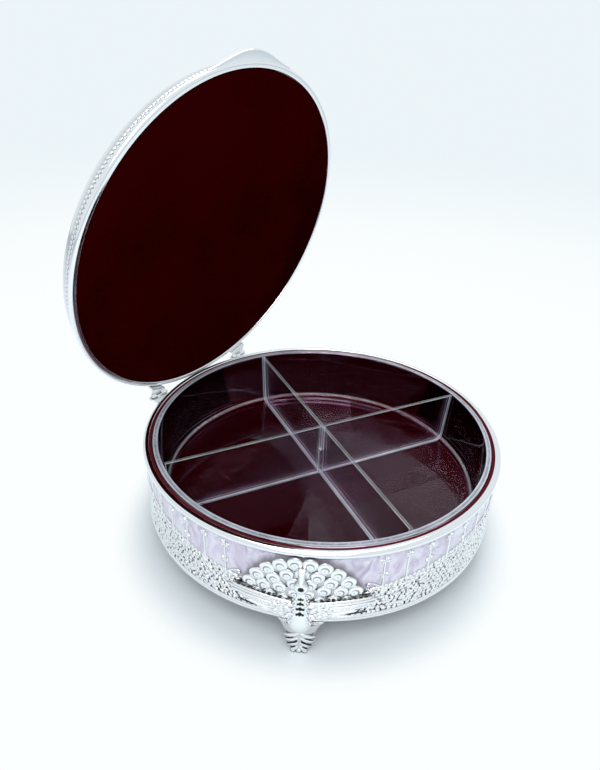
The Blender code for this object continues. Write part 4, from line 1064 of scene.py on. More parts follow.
def make_bird(relief, place):
    """Crest, ringed head, breast with dark marks and a smooth belly."""
    relief.loft([
        oval(
            place, between(BIRD_LOWEST, BIRD_HEIGHT, height_share), BIRD_HALF_WIDTH * width_share,
            BIRD_BACK_RELIEF, BIRD_BACK_RELIEF + BIRD_DEPTH * depth_share, 32, BIRD_BACK_MARK,
        )
        for height_share, width_share, depth_share in smooth_row(BIRD_STATION_SHARES, 5)
    ])
    relief.loft([
        oval(place, height, half, FAN_BACK_RELIEF, front, 14, 0.0)
        for height, half, front in smooth_row(CREST_STATIONS, 4)
    ])
    size = (HEAD_RADIUS * HEAD_WIDTH_SHARE, HEAD_RADIUS)
    out = bird_front(HEAD_HEIGHT) - HEAD_SINK
    boss(relief, place, (0.0, HEAD_HEIGHT), size, 0.0, HEAD_PROFILE, HEAD_RISE, out, 28)
    for height, half_width, half_height in BREAST_MARKS:
        out = bird_front(height) + MARK_LIFT
        size = (half_width, half_height)
        boss(relief, place, (0.0, height), size, 0.0, MARK_PROFILE, MARK_RISE, out, 4)
        for side in (-1, 1):
            centre = (side * half_width, height - half_height / 3)
            size = (half_width / 2, half_height / 2)
            boss(relief, place, centre, size, 0.0, MARK_PROFILE, MARK_RISE, out - MARK_RISE, 5)
    lowest, pitch, *size = BREAST_SIZES
    for row in range(BREAST_ROWS):
        height = lowest + pitch * row
        half = BIRD_HALF_WIDTH * (1 - BREAST_NARROWING_SHARE * row)
        for side in (-1, 1):
            for k in range(2):
                share = BREAST_START_SHARE + BREAST_SPACING_SHARE * k + BREAST_STAGGER_SHARE * (row % 2)
                bend = math.sqrt(1 - share * share)
                out = between(FAN_BACK_RELIEF, bird_front(height), (1 + bend) / 2)
                centre = (side * half * share, height)
                boss(relief, place, centre, size, 0.0, BREAST_PROFILE, BREAST_RISE, out, 10, BREAST_TAPER)
    lowest, pitch, *size = FLANK_SIZES
    for row in range(FLANK_ROWS):
        for side in (-1, 1):
            for k in range(4):
                across = FLANK_START + FLANK_SPACING * k + FLANK_STAGGER * (row % 2)
                across -= FLANK_ROW_SHIFT * row
                centre = (side * across, lowest + pitch * row)
                out = FAN_DEEPEST + FLANK_RELIEF - FLANK_DROP * k
                boss(relief, place, centre, size, 0.0, FLANK_PROFILE, FLANK_RISE, out, 10, BREAST_TAPER)


# Peacock feet: the leg

LEG_SETBACK = 2.5 * MM
LEG_INNER_RADIUS = WALL_RADIUS - LEG_SETBACK
LEG_DEPTH = 6.2 * MM
LEG_TOP_HALF_WIDTH = 15.0 * MM
LEG_NECK_HALF_WIDTH = 8.0 * MM
LEG_PAD_HALF_WIDTH = 4.6 * MM
LEG_PAD_DEPTH_SHARE = 0.76
LEG_TOP = -FIT_GAP / 3
LEAF_MARGIN = 2.0 * MM
LEG_MARK = 0.18
LEG_BACK_MARK = 0.3
TOE_LENGTH = 3.5 * MM
TOE_RADIUS = 2.2 * MM
TOE_SPACING = 2.7 * MM
TOE_START_SHARE = 0.40
TOE_SPREAD = math.radians(20)
TOE_LIFT = 0.05 * MM
TOE_TIP_SHARE = 0.95
TOE_SIDE_LEAN = 0.85
TOE_SIDE_MARK = 0.7
TOE_MARK = 0.1
LUG_WIDTH = 12.0 * MM
LUG_THICKNESS = 2.0 * MM
LUG_CLEARANCE = 1.0 * MM
# Pairs of curled leaves on the claw: height at the middle and at the ends, reach across, half width
CLAW_LEAVES = (
    (-6.0 * MM, -10.2 * MM, 9.4 * MM, 1.45 * MM), (-9.6 * MM, -14.0 * MM, 8.6 * MM, 1.60 * MM),
    (-13.6 * MM, -17.6 * MM, 7.2 * MM, 1.70 * MM), (-17.4 * MM, -20.8 * MM, 5.0 * MM, 1.50 * MM),
)
CLAW_LEAF_START = 0.3 * MM
CLAW_LEAF_CURL = 1.1 * MM
CLAW_LEAF_RISES = (0.45 * MM, 1.20 * MM)
CLAW_LEAF_SINK = 0.3 * MM
CLAW_LEAF_SPAN = (0.15, 0.95)
CURL_SHARE = 0.25
# Dark cuts between the leaves: height at the middle and at the end, start and end across, half width
CLAW_CUTS = (
    (-7.9 * MM, -11.8 * MM, 3.6 * MM, 8.0 * MM, 0.28 * MM),
    (-11.7 * MM, -15.9 * MM, 1.2 * MM, 7.2 * MM, 0.70 * MM),
    (-15.6 * MM, -19.0 * MM, 2.2 * MM, 5.0 * MM, 0.30 * MM),
)
CUT_LIFT = 0.55 * MM
CUT_RISE = 0.1 * MM
CUT_SPAN = (0.12, 0.88)


def leg_half(share):
    half = between(LEG_NECK_HALF_WIDTH, LEG_TOP_HALF_WIDTH, (1 - share) ** 4)
    return half + (LEG_PAD_HALF_WIDTH - LEG_NECK_HALF_WIDTH) * share * share


def leg_reach(share, bend):
    """How far the leg's surface lies from the box's axis; its flared sides stay back under the body."""
    depth = LEG_DEPTH * (1 - (1 - LEG_PAD_DEPTH_SHARE) * share * share)
    return LEG_INNER_RADIUS + depth * ((1 + bend) / 2) ** (1 + 2 * (1 - share) ** 4)


def leg_place(across, out, height):
    """Places (across, out, height) on the leg's rounded front, at the front of the box."""
    share = height / FLOOR_HEIGHT
    bend = math.sqrt(max(0.0, 1 - (across / (leg_half(share) + LEAF_MARGIN)) ** 2))
    return (across, -(leg_reach(share, bend) + out), height)


def make_toe(relief, rank):
    """One toe, ahead of the claw for rank 0 and to its sides for -1 and 1."""
    turn_out = rank * TOE_SPREAD
    start_out = LEG_INNER_RADIUS + LEG_DEPTH * TOE_START_SHARE
    start = Vector((rank * TOE_SPACING, -start_out, FLOOR_HEIGHT + TOE_RADIUS))
    ahead = Vector((math.sin(turn_out), -math.cos(turn_out), 0))
    side = Vector((math.cos(turn_out), math.sin(turn_out), 0))
    sections = []
    for share in shares(12):
        radius = TOE_RADIUS * math.sqrt(1 - share ** 3 * TOE_TIP_SHARE)
        section = []
        for turn in round_turns(16):
            point = start + ahead * (TOE_LENGTH * share) + side * (radius * math.cos(turn))
            point.z = max(point.z + radius * math.sin(turn), FLOOR_HEIGHT + TOE_LIFT)
            section.append((point, TOE_SIDE_MARK if abs(math.cos(turn)) > TOE_SIDE_LEAN else TOE_MARK))
        sections.append(section)
    relief.loft(sections)


def make_leg(relief):
    """The apron under the body, drawn in to a claw of curled leaves with three toes."""
    sections = []
    for share in shares(28):
        section = []
        for turn in round_turns(28):
            across = leg_half(share) * math.sin(turn)
            out = leg_reach(share, math.cos(turn))
            height = between(LEG_TOP, FLOOR_HEIGHT, share)
            point = (across, -math.sqrt(out * out - across * across), height)
            section.append((point, LEG_MARK + max(0.0, -math.cos(turn)) * LEG_BACK_MARK))
        sections.append(section)
    relief.loft(sections)
    for middle, end, reach, half_width in CLAW_LEAVES:
        for side in (-1, 1):
            leaf = []
            for t in shares(12):
                across = side * between(CLAW_LEAF_START, reach, t)
                curl = CLAW_LEAF_CURL * max(0.0, t - 1 + CURL_SHARE) / CURL_SHARE
                half = max(THINNEST_HALF_WIDTH, half_width * swell(CLAW_LEAF_SPAN, t))
                rise = between(*CLAW_LEAF_RISES, math.sin(math.pi * t))
                leaf.append((across, between(middle, end, t) + curl, half, rise))
            strip(relief, leg_place, leaf, -CLAW_LEAF_SINK, 6, 0.55)
    for middle, end, start, reach, half_width in CLAW_CUTS:
        for side in (-1, 1):
            cut = []
            for t in shares(6):
                across = between(start, reach, t)
                half = half_width * swell(CUT_SPAN, t)
                cut.append((side * across, between(middle, end, across / reach), half, CUT_RISE))
            strip(relief, leg_place, cut, CUT_LIFT, 3, 1.0, 1.0)
    for rank in (-1, 0, 1):
        make_toe(relief, rank)


# Sprigs beside the tail: points across and up from the middle of the foot
SPRIG_PATHS = (
    ((46.5 * MM, 23.0 * MM), (43.6 * MM, 26.2 * MM), (40.4 * MM, 28.4 * MM), (37.6 * MM, 29.0 * MM),
     (36.2 * MM, 27.8 * MM), (37.2 * MM, 26.8 * MM)),
    ((47.5 * MM, 22.0 * MM), (44.5 * MM, 23.6 * MM), (41.0 * MM, 24.2 * MM), (38.2 * MM, 23.6 * MM)),
)
SPRIG_HALF_WIDTHS = (0.62 * MM, 0.36 * MM)
SPRIG_RISE = 0.65 * MM
KNOB_RADIUS = 0.8 * MM
KNOB_RISE = 0.5 * MM
KNOB_PROFILE = ((0.0, 1.5, 0.0), (0.6, 1.2, 0.0), (1.0, -0.2, 0.5))


def make_sprigs(relief, place):
    """Thin curled sprigs on the enamel beside the tail."""
    for side in (-1, 1):
        for stations in SPRIG_PATHS:
            path = smooth_row(stations, 5)
            sprig = [
                (side * across, height, between(*SPRIG_HALF_WIDTHS, i / len(path)), SPRIG_RISE)
                for i, (across, height) in enumerate(path)
            ]
            strip(relief, place, sprig, TREE_BASE, 5, 0.35)
            size = (KNOB_RADIUS, KNOB_RADIUS)
            boss(relief, place, sprig[-1][:2], size, 0.0, KNOB_PROFILE, KNOB_RISE, TREE_BASE, 10)


def make_lug(relief):
    """The lug under the body that takes the foot's screw."""
    half = LUG_WIDTH / 2
    near = LEG_INNER_RADIUS + LEG_DEPTH / 4
    far = LEDGE_INNER_RADIUS + LUG_CLEARANCE
    corners = ((-half, near), (half, near), (half, far), (-half, far))
    heights = (-FIT_GAP - LUG_THICKNESS, -FIT_GAP)
    relief.loft([[((x, -radius, height), 0.3) for x, radius in corners] for height in heights])


def make_feet():
    relief = Relief()
    place = wall_place(-math.pi / 2)
    make_fan(relief, place)
    make_fan_feathers(relief, place)
    for side in (-1, 1):
        make_wing(relief, place, side)
    make_bird(relief, place)
    make_leg(relief)
    make_sprigs(relief, place)
    make_lug(relief)
    mesh = relief.mesh("peacock")
    for k, name in enumerate(("back", "left", "right")):
        turned_mesh = mesh.copy()
        angle = FIRST_FOOT_ANGLE + 2 * math.pi * k / FOOT_COUNT + math.pi / 2
        turned_mesh.transform(Matrix.Rotation(angle, 4, "Z"))
        replaced = (f"peacock_foot_{name}",)
        add_piece(f"peacock_{name}", turned_mesh, SILVER, "base", replaced)


# Tray

TRAY_SEGMENTS = 240
TRAY_FLANGE_WIDTH = 3.4 * MM
TRAY_FLANGE_THICKNESS = 2.2 * MM
TRAY_WALL_THICKNESS = 1.6 * MM
TRAY_FLOOR_THICKNESS = 1.9 * MM
TRAY_DRAFT = 4.0 * MM
TRAY_FLOOR_FILLET = 3.0 * MM
TRAY_INNER_RADIUS = TRAY_OUTER_RADIUS - TRAY_FLANGE_WIDTH
TRAY_FLOOR_HEIGHT = TRAY_HEIGHT + TRAY_FLOOR_THICKNESS
# Painted highlight marks on the dish's rim, the flat top of its rim and the fillet at its floor
TRAY_RIM_HIGHLIGHT = 0.6
TRAY_FLAT_HIGHLIGHTS = (0.16, 0.12)
TRAY_FILLET_HIGHLIGHT = 0.3
DIVIDER_THICKNESS = 2.3 * MM
DIVIDER_END_GAP = 1.2 * MM
DIVIDER_CORNER_RADIUS = 6.0 * MM
DIVIDER_ANGLE = math.radians(-27.6)
EDGE_ROUND = 0.35 * MM
# Painted highlight on a panel's edges, and the share of it that its upper edge takes
PANEL_ROUND_HIGHLIGHT = 1.0
PANEL_FLAT_HIGHLIGHT = 0.3
PANEL_TOP_HIGHLIGHT_SHARE = 0.5
# A face whose normal leans this far across the panel lies on its broad side, or on the flat of its edge
BROAD_SIDE_LEAN = 0.95
FLAT_EDGE_LEAN = 0.05


def tray_profile(angle):
    """The dish's section. Its rim and the fillet at its floor are marked for a painted highlight."""
    wall_top = BODY_HEIGHT - TRAY_FLANGE_THICKNESS
    edge_height = BODY_HEIGHT - EDGE_ROUND
    floor_inner = TRAY_INNER_RADIUS - TRAY_DRAFT
    wall_outer = TRAY_INNER_RADIUS + TRAY_WALL_THICKNESS
    flange_edge = TRAY_OUTER_RADIUS - EDGE_ROUND
    inside = (floor_inner - TRAY_FLOOR_FILLET, TRAY_FLOOR_HEIGHT + TRAY_FLOOR_FILLET)
    outside = (floor_inner + TRAY_WALL_THICKNESS - TRAY_FLOOR_FILLET, TRAY_HEIGHT + TRAY_FLOOR_FILLET)
    slope = TRAY_DRAFT / (BODY_HEIGHT - TRAY_HEIGHT)
    under = [
        (0, TRAY_HEIGHT),
        (outside[0] - MM, TRAY_HEIGHT),
        *arc(outside, TRAY_FLOOR_FILLET, -math.pi / 2, 0, EDGE_STEPS),
        (outside[0] + TRAY_FLOOR_FILLET + slope * MM, outside[1] + MM),
        (wall_outer - slope * MM, wall_top - MM),
        (wall_outer, wall_top),
        (flange_edge, wall_top),
        *arc((flange_edge, wall_top + EDGE_ROUND), EDGE_ROUND, -math.pi / 4, 0, 3),
    ]
    outer_edge = arc((flange_edge, edge_height), EDGE_ROUND, 0, math.pi / 2, 5)
    lip = arc((TRAY_INNER_RADIUS + EDGE_ROUND, edge_height), EDGE_ROUND, math.pi / 2, math.pi, 5)
    fillet = arc(inside, TRAY_FLOOR_FILLET, 0, -math.pi / 2, 10)
    return [
        *marked(under),
        *marked(outer_edge[:1]),
        *marked(outer_edge[1:] + lip[:1], TRAY_RIM_HIGHLIGHT),
        (TRAY_OUTER_RADIUS - 3 * EDGE_ROUND, BODY_HEIGHT, TRAY_FLAT_HIGHLIGHTS[0]),
        (TRAY_INNER_RADIUS + 3 * EDGE_ROUND, BODY_HEIGHT, TRAY_FLAT_HIGHLIGHTS[1]),
        *marked(lip[1:-1], TRAY_RIM_HIGHLIGHT),
        *marked(lip[-1:]),
        (TRAY_INNER_RADIUS - slope * MM, edge_height - MM, 0.0),
        (inside[0] + TRAY_FLOOR_FILLET + slope * MM, inside[1] + MM, 0.0),
        *marked(fillet[:3]),
        *marked(fillet[3:7], TRAY_FILLET_HIGHLIGHT),
        *marked(fillet[7:]),
        (inside[0] - MM, TRAY_FLOOR_HEIGHT, 0.0),
        (0, TRAY_FLOOR_HEIGHT, 0.0),
    ]


def divider_outline():
    low = TRAY_FLOOR_HEIGHT + FIT_GAP
    top_half = TRAY_INNER_RADIUS - DIVIDER_END_GAP
    bottom_half = TRAY_INNER_RADIUS - TRAY_DRAFT - DIVIDER_END_GAP
    corner = DIVIDER_CORNER_RADIUS
    right = arc((bottom_half - corner, low + corner), corner, -math.pi / 2, 0, 12)
    left = arc((corner - bottom_half, low + corner), corner, -math.pi, -math.pi / 2, 12)
    return left + right + [(top_half, BODY_HEIGHT), (-top_half, BODY_HEIGHT)]


def mark_panel_highlights(mesh):
    """Marks the thin edges of a panel for a painted highlight: most at the bottom, least at the top."""
    mesh.attributes.remove(mesh.attributes["patina_and_highlight"])
    marks = mesh.attributes.new("patina_and_highlight", "FLOAT", "FACE").data
    for face in mesh.polygons:
        mark = PANEL_FLAT_HIGHLIGHT if abs(face.normal.y) < FLAT_EDGE_LEAN else PANEL_ROUND_HIGHLIGHT
        if abs(face.normal.y) > BROAD_SIDE_LEAN:
            face.use_smooth = False
            mark = 0.0
        elif face.center.z > BODY_HEIGHT - DIVIDER_THICKNESS:
            mark *= PANEL_TOP_HIGHLIGHT_SHARE
        marks[face.index].value = mark


def soften_edges(made, width, segments):
    soften = made.modifiers.new("edges", "BEVEL")
    soften.width = width
    soften.segments = segments
    soften.limit_method = "ANGLE"


def prism(name, corners_at, levels):
    """A closed mesh through the corners at two levels."""
    relief = Relief()
    relief.loft([[(point, 0.0) for point in corners_at(level)] for level in levels])
    return relief.mesh(name)


def make_divider(name, turn, upward, node_name):
    """A clear panel with a half-lap slot and finely rounded edges."""
    outline = divider_outline()
    half = DIVIDER_THICKNESS / 2
    blank = prism(name, lambda y: [(x, y, z) for x, z in outline], (-half, half))
    panel = add_piece(name, blank, PANEL, "tray", (node_name,), FINE_SHARP_ANGLE)
    middle = (TRAY_FLOOR_HEIGHT + FIT_GAP + BODY_HEIGHT) / 2
    levels = (middle - FIT_GAP / 2, BODY_HEIGHT + MM) if upward else (TRAY_HEIGHT, middle + FIT_GAP / 2)
    across = half + FIT_GAP
    along = half + MM
    corners = ((-across, -along), (across, -along), (across, along), (-across, along))
    slot_name = f"{name}_slot"
    slot = prism(slot_name, lambda z: [(x, y, z) for x, y in corners], levels)
    cutter = link(bpy.data.objects.new(slot_name, slot))
    cut = panel.modifiers.new("slot", "BOOLEAN")
    cut.object = cutter
    cut.operation = "DIFFERENCE"
    cut.solver = "EXACT"
    soften_edges(panel, EDGE_ROUND, 3)
    view = bpy.context.evaluated_depsgraph_get()
    final = bpy.data.meshes.new_from_object(panel.evaluated_get(view))
    final.shade_smooth()
    final.set_sharp_from_angle(angle=FINE_SHARP_ANGLE)
    mark_panel_highlights(final)
    final.transform(Matrix.Rotation(turn, 4, "Z"))
    panel.modifiers.clear()
    panel.data = final
    bpy.data.objects.remove(cutter)


def make_tray():
    dish = turned(tray_profile, TRAY_SEGMENTS).mesh("clear_dish")
    add_piece("clear_dish", dish, CLEAR, "tray", ("tray_bowl",), DISH_SHARP_ANGLE)
    make_divider("long_panel", DIVIDER_ANGLE, False, "divider_long")
    make_divider("cross_panel", DIVIDER_ANGLE + math.pi / 2, True, "divider_cross")


# Liner of the well

LINER_DROP = 0.3 * MM
LINER_THICKNESS = 1.5 * MM
LINER_FULLNESS_SHARE = 0.8


def make_liner():
    """Velvet round the well and over its floor, with a rounded upper edge."""
    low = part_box("velvet_liner")[0].z
    top = BODY_HEIGHT - LINER_DROP
    floor_top = low + LINER_THICKNESS
    edge_low = top - 2 * LINER_THICKNESS
    back = WALL_THICKNESS + FIT_GAP
    front = back + LINER_THICKNESS
    round_radius = (LINER_THICKNESS + FIT_GAP * LINER_FULLNESS_SHARE) / 2
    crest = (wall_radius(top) - front + round_radius, top - round_radius)
    outline = [
        (0, low),
        (wall_radius(low) - back, low),
        (wall_radius(top) - back, edge_low),
        *arc(crest, round_radius, 0, math.pi, 10),
        (crest[0] - round_radius, edge_low),
        (wall_radius(floor_top) - front, floor_top),
        (0, floor_top),
    ]
    # The velvet's rounded top edge is marked for its crest colour, a painted highlight.
    with_crest_highlight = [
        (radius, height, 1.0 if height > top - LINER_THICKNESS else 0.0)
        for radius, height in outline
    ]
    liner = turned(lambda angle: with_crest_highlight, TRAY_SEGMENTS).mesh("well_velvet")
    add_piece("well_velvet", liner, LINER, "base", ("velvet_liner",))


# Lid

LID_SEGMENTS = 300
LID_OPEN_ANGLE = math.radians(76)
LID_SIDE_HEIGHT = 11.5 * MM
LID_SIDE_RELIEF = 0.9 * MM
LID_SIDE_TAPER = 1.5 * MM
LID_SHOULDER_RADIUS = 3.0 * MM
LID_RING_WIDTH = 7.5 * MM
LID_SHELL_THICKNESS = 1.3 * MM
LID_DOME_RISE = 9.0 * MM
SHELL_DOME_STEPS = 16
PEARL_DOME_STEPS = 24
LINING_THICKNESS = 1.5 * MM
LINING_RECESS = 0.6 * MM
LINING_SHELF_WIDTH = 1.5 * MM
LINING_EDGE_RADIUS = 0.6 * MM
LID_SEAT_HEIGHT = BODY_HEIGHT + FIT_GAP
LID_SIDE_TOP = LID_SEAT_HEIGHT + LID_SIDE_HEIGHT
LID_TOP = LID_SIDE_TOP + LID_SHOULDER_RADIUS
LID_SIDE_START = 2 * RIM_BEAD_RADIUS
LID_SIDE_TOP_RADIUS = WALL_RADIUS + LID_SIDE_RELIEF - LID_SIDE_TAPER
LID_RING_INNER_RADIUS = LID_SIDE_TOP_RADIUS - LID_SHOULDER_RADIUS - LID_RING_WIDTH
LID_INSIDE_MARK = 0.5
HINGE_AXIS_INSET = 1.8 * MM
HINGE_AXIS_DROP = 2.5 * MM
HINGE_AXIS = Vector((0, RIM_OUTER_RADIUS - HINGE_AXIS_INSET, BODY_HEIGHT - HINGE_AXIS_DROP))
LID_TURN = (
    Matrix.Translation(HINGE_AXIS) @ Matrix.Rotation(-LID_OPEN_ANGLE, 4, "X")
    @ Matrix.Translation(-HINGE_AXIS)
)


def lid_side_radius(height):
    share = (height - LID_SIDE_START) / (LID_SIDE_HEIGHT - LID_SIDE_START)
    return WALL_RADIUS + LID_SIDE_RELIEF - LID_SIDE_TAPER * share


def dome(outer_radius, edge_height, steps):
    """Points of a shallow dome's section, from its edge to its middle."""
    return [
        (outer_radius * (1 - share), edge_height + LID_DOME_RISE * (1 - (1 - share) ** 2))
        for share in shares(steps)
    ]


def lid_profile(angle):
    seat = LID_SEAT_HEIGHT
    edge_centre = (RIM_INNER_RADIUS + RIM_EDGE_RADIUS, seat + RIM_EDGE_RADIUS)
    shoulder = (LID_SIDE_TOP_RADIUS - LID_SHOULDER_RADIUS, LID_SIDE_TOP)
    dish_edge = LID_TOP - ENAMEL_THICKNESS - FIT_GAP
    inner_wall = LID_SIDE_TOP_RADIUS - LID_SHELL_THICKNESS
    shelf_inner = RIM_INNER_RADIUS - LINING_SHELF_WIDTH
    shelf_low = seat + LINING_RECESS + LINING_THICKNESS + FIT_GAP
    shelf_top = shelf_low + LINING_SHELF_WIDTH
    inside = [
        *dome(LID_RING_INNER_RADIUS, dish_edge, SHELL_DOME_STEPS),
        *dome(LID_RING_INNER_RADIUS, dish_edge - LID_SHELL_THICKNESS, SHELL_DOME_STEPS)[::-1],
        (inner_wall, LID_SIDE_TOP),
        (inner_wall, shelf_top),
        (shelf_inner, shelf_top),
        (shelf_inner, shelf_low),
        (RIM_INNER_RADIUS, shelf_low),
    ]
    return [
        *marked(arc(edge_centre, RIM_EDGE_RADIUS, -math.pi, -math.pi / 2, EDGE_STEPS)),
        *marked(rim_bead(seat + RIM_BEAD_RADIUS)),
        (lid_side_radius(LID_SIDE_START), seat + LID_SIDE_START, 0.7),
        *marked(arc(shoulder, LID_SHOULDER_RADIUS, 0, math.pi / 2, 12)),
        (LID_RING_INNER_RADIUS, LID_TOP, 0.0),
        *marked(inside, LID_INSIDE_MARK),
    ]


def add_lid_piece(name, relief, finish, replaced=()):
    mesh = relief.mesh(name)
    mesh.transform(LID_TURN)
    add_piece(name, mesh, finish, "lid", replaced)


def lid_side_place(across, out, height):
    """Places (across, out, height) on the closed lid's side."""
    angle = across / WALL_RADIUS
    radius = lid_side_radius(height) + out
    return (radius * math.cos(angle), radius * math.sin(angle), LID_SEAT_HEIGHT + height)


# The scales leave room for the leaves of the two hinges: their direction from the back, and half the gap
HINGE_SIDE_ANGLE = 0.362
HINGE_HALF_ANGLE = 0.075
LID_SCALE_ROW_START = 0.6
LID_SCALE_WIDTH_SHARES = (0.44, 0.50)
LID_SCALE_HEIGHT_SHARES = (0.50, 0.58)
LID_SCALE_TURN_SPREAD = 12
LID_SCALE_RISE = 0.5 * MM
LID_SCALE_PROFILE = ((0.0, 1.0, 0.0), (0.5, 0.96, 0.0), (0.85, 0.6, 0.05), (1.05, 0.0, 0.25))


def make_lid_relief(relief):
    """Two rows of scales round the lid's side."""
    chance = random.Random(31)
    columns, spacing = even_row(SCALE_WIDTH)
    for row in range(2):
        height = LID_SIDE_START + SCALE_PITCH * (row + LID_SCALE_ROW_START)
        for k in range(columns):
            across = spacing * (k + row / 2)
            from_back = abs(across / WALL_RADIUS - math.pi / 2)
            if abs(from_back - HINGE_SIDE_ANGLE) < HINGE_HALF_ANGLE:
                continue
            width = SCALE_WIDTH * chance.uniform(*LID_SCALE_WIDTH_SHARES)
            size = (width, SCALE_PITCH * chance.uniform(*LID_SCALE_HEIGHT_SHARES))
            turn = math.radians(chance.uniform(-LID_SCALE_TURN_SPREAD, LID_SCALE_TURN_SPREAD))
            boss(
                relief, lid_side_place, (across, height), size, turn, LID_SCALE_PROFILE, LID_SCALE_RISE,
                -SCALE_RISE / 4, 9, 0.35,
            )


def make_lid():
    shell = turned(lid_profile, LID_SEGMENTS)
    add_lid_piece("lid_casting", shell, POLISHED, ("lid_shell",))
    scales = Relief()
    make_lid_relief(scales)
    add_lid_piece("lid_scales", scales, SILVER)

    pearl_radius = LID_RING_INNER_RADIUS - FIT_GAP
    pearl = dome(pearl_radius, LID_TOP, PEARL_DOME_STEPS)
    pearl += dome(pearl_radius, LID_TOP - ENAMEL_THICKNESS, PEARL_DOME_STEPS)[::-1]
    top = turned(lambda angle: marked(pearl), LID_SEGMENTS)
    add_lid_piece("lid_pearl", top, ENAMEL, ("lid_enamel",))

    low = LID_SEAT_HEIGHT + LINING_RECESS
    high = low + LINING_THICKNESS
    radius = RIM_INNER_RADIUS - FIT_GAP
    edge_centre = (radius - LINING_EDGE_RADIUS, low + LINING_EDGE_RADIUS)
    edge = arc(edge_centre, LINING_EDGE_RADIUS, -math.pi / 2, 0, 6)
    lining = [(0, low), *edge, (radius, high), (0, high)]
    pad = turned(lambda angle: marked(lining), LID_SEGMENTS)
    add_lid_piece("lid_velvet", pad, LINING, ("lid_lining",))


# Lift tab

TAB_HALF_ANGLE = math.radians(17.5)
TAB_REACH = 6.5 * MM
TAB_END_REACH = 0.5 * MM
TAB_THICKNESS = 2.0 * MM
TAB_RISE = 1.2 * MM
TAB_STEPS = 60


def make_tab():
    """The lift tab, with a finely rounded edge."""
    low = LID_SEAT_HEIGHT + TAB_RISE
    half = TAB_THICKNESS / 2
    inner = RIM_OUTER_RADIUS - FIT_GAP
    sections = []
    for t in shares(TAB_STEPS):
        share = 2 * t - 1
        turn = share * TAB_HALF_ANGLE
        bell = (1 + math.cos(math.pi * share)) / 2
        outer = RIM_OUTER_RADIUS + FIT_GAP + between(TAB_END_REACH, TAB_REACH, bell)
        edge = min(half, (outer - inner) / 2)
        rounded = arc((outer - edge, 0), edge, -math.pi / 2, math.pi / 2, EDGE_STEPS)
        profile = [(r, low + half + z * half / edge) for r, z in rounded]
        profile = [(inner, low), *profile, (inner, low + TAB_THICKNESS)]
        sections.append([((r * math.sin(turn), -r * math.cos(turn), z), 0.0) for r, z in profile])
    relief = Relief()
    relief.loft(sections)
    add_lid_piece("tab_plate", relief, POLISHED, ("lift_tab",))


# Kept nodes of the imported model: finish and soft edges

FINISHES = {"bottom_cover": CLOTH, "base_board": BOARD, "hinge_pin": STEEL, "foot_screw": STEEL}
FITTING_EDGE_ROUND = 0.15 * MM


def dress_nodes():
    for name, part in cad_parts.items():
        if part.hide_render:
            continue
        finish = next((made for start, made in FINISHES.items() if name.startswith(start)), POLISHED)
        part.data.materials.clear()
        part.data.materials.append(finish)
        if "leaf" in name or "rivet" in name or "pin" in name:
            soften_edges(part, FITTING_EDGE_ROUND, 2)


# Floor, light and camera

BACKDROP_COLOUR = (0.84, 0.91, 0.945, 1.0)
NEAR_COLOUR = (0.97, 1.0, 1.0, 1.0)
WORLD_COLOUR = (0.90, 0.95, 1.0, 1.0)
WORLD_STRENGTH = 0.55
FLOOR_REACH = 6.0
# Distances from the middle between which the floor fades to the backdrop, and starts to glow
FADE_LIMITS = {"From Min": 0.35, "From Max": 1.6}
GLOW_LIMITS = {"From Min": 0.120, "From Max": 0.155}


def make_stage():
    """A pale floor that takes the box's shadow near it and glows evenly further out."""
    material, tree, shader = new_material("pale_floor")
    place = place_on_object(tree)
    cloud = noise(tree, place, 1.2, 1.0)
    away = node(tree, "VectorMath", {0: place}, operation="LENGTH").outputs["Value"]
    fade = ranged(tree, away, FADE_LIMITS, interpolation_type="SMOOTHSTEP")
    seen = ramp(tree, fade, ((0.0, NEAR_COLOUR), (1.0, BACKDROP_COLOUR)))
    glow = node(tree, "Emission", {"Color": seen, "Strength": 1.0}).outputs[0]
    far = ranged(tree, away, GLOW_LIMITS, interpolation_type="SMOOTHSTEP")
    share = calculate(tree, "MULTIPLY", node(tree, "LightPath").outputs["Is Camera Ray"], far)
    tint = ramp(tree, cloud, ((0.3, (0.86, 0.93, 0.96, 1.0)), (0.7, (0.90, 0.97, 1.0, 1.0))))
    set_inputs(tree, shader, {"Base Color": tint, "Roughness": 0.9})
    surface = mix_shaders(tree, share, shader.outputs[0], glow)
    tree.links.new(surface, tree.nodes["Material Output"].inputs["Surface"])
    mesh = bpy.data.meshes.new("floor")
    reach = FLOOR_REACH
    corners = ((-reach, -reach), (reach, -reach), (reach, reach), (-reach, reach))
    mesh.from_pydata([(x, y, FLOOR_HEIGHT) for x, y in corners], [], [(0, 1, 2, 3)])
    mesh.materials.append(material)
    link(bpy.data.objects.new("floor", mesh))


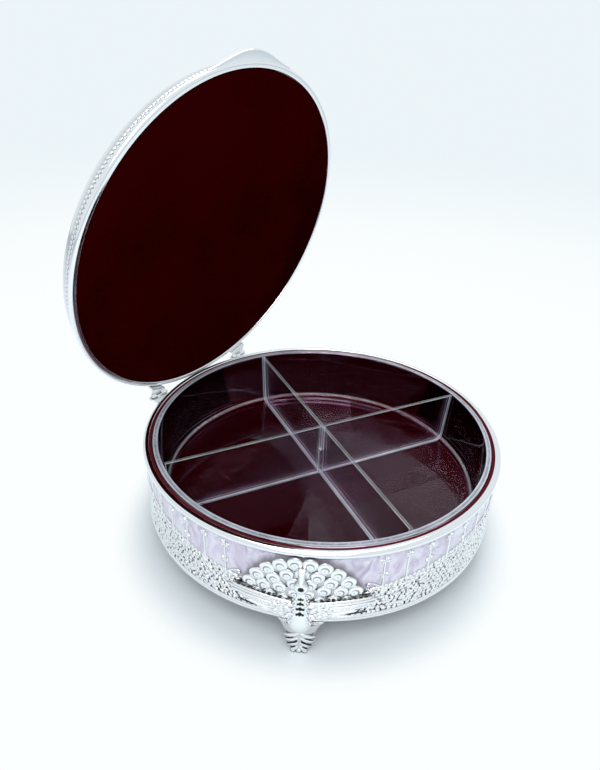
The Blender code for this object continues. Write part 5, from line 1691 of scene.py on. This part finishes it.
def make_world():
    """A soft even light, and the backdrop's colour where the world is seen, mirrored or seen through."""
    world = bpy.data.worlds.new("studio")
    bpy.context.scene.world = world
    world.use_nodes = True
    tree = world.node_tree
    background = tree.nodes["Background"]
    set_inputs(tree, background, {"Color": WORLD_COLOUR, "Strength": WORLD_STRENGTH})
    seen = node(tree, "Background", {"Color": BACKDROP_COLOUR, "Strength": 1.0}).outputs[0]
    path = node(tree, "LightPath").outputs
    either = calculate(tree, "MAXIMUM", path["Is Camera Ray"], path["Is Glossy Ray"])
    any_ray = calculate(tree, "MAXIMUM", either, path["Is Transmission Ray"])
    surface = mix_shaders(tree, any_ray, background.outputs[0], seen)
    tree.links.new(surface, tree.nodes["World Output"].inputs["Surface"])


def add_softbox(name, place, size, power):
    """A square area light that points at the origin."""
    light = bpy.data.lights.new(name, "AREA")
    light.shape = "SQUARE"
    light.size = size
    light.energy = power
    lamp = link(bpy.data.objects.new(name, light))
    lamp.location = place
    lamp.rotation_mode = "QUATERNION"
    lamp.rotation_quaternion = (-Vector(place)).to_track_quat("-Z", "Y")


# The camera that was fitted to the photo
CAMERA_PLACE = Vector((-0.32355, -0.21754, 0.31296))
CAMERA_RIGHT = Vector((0.58978, -0.80622, 0.04661))
CAMERA_UP = Vector((0.30898, 0.27860, 0.90935))
IMAGE_WIDTH = 600
IMAGE_HEIGHT = 770
FOCAL_PIXELS = 648.3
AXIS_COLUMN = 317.9
AXIS_ROW = 320.5


def make_camera():
    data = bpy.data.cameras.new("camera")
    data.sensor_width = 36
    data.lens = data.sensor_width * FOCAL_PIXELS / IMAGE_HEIGHT
    data.shift_x = (IMAGE_WIDTH / 2 - AXIS_COLUMN) / IMAGE_HEIGHT
    data.shift_y = (AXIS_ROW - IMAGE_HEIGHT / 2) / IMAGE_HEIGHT
    data.clip_start = 0.01
    camera = link(bpy.data.objects.new("camera", data))
    right = CAMERA_RIGHT.normalized()
    up = (CAMERA_UP - right * CAMERA_UP.dot(right)).normalized()
    turn = Matrix((right, up, right.cross(up))).transposed().to_4x4()
    camera.matrix_world = Matrix.Translation(CAMERA_PLACE) @ turn
    bpy.context.scene.camera = camera


def main():
    make_camera()
    make_body()
    make_feet()
    make_tray()
    make_liner()
    make_lid()
    make_tab()
    dress_nodes()
    make_stage()
    make_world()
    add_softbox("key", (-0.75, -0.45, 1.2), 0.8, 9.0)
    add_softbox("top", (0.4, 0.3, 1.4), 0.9, 9.0)
    bpy.context.scene.view_settings.view_transform = "Standard"


main()
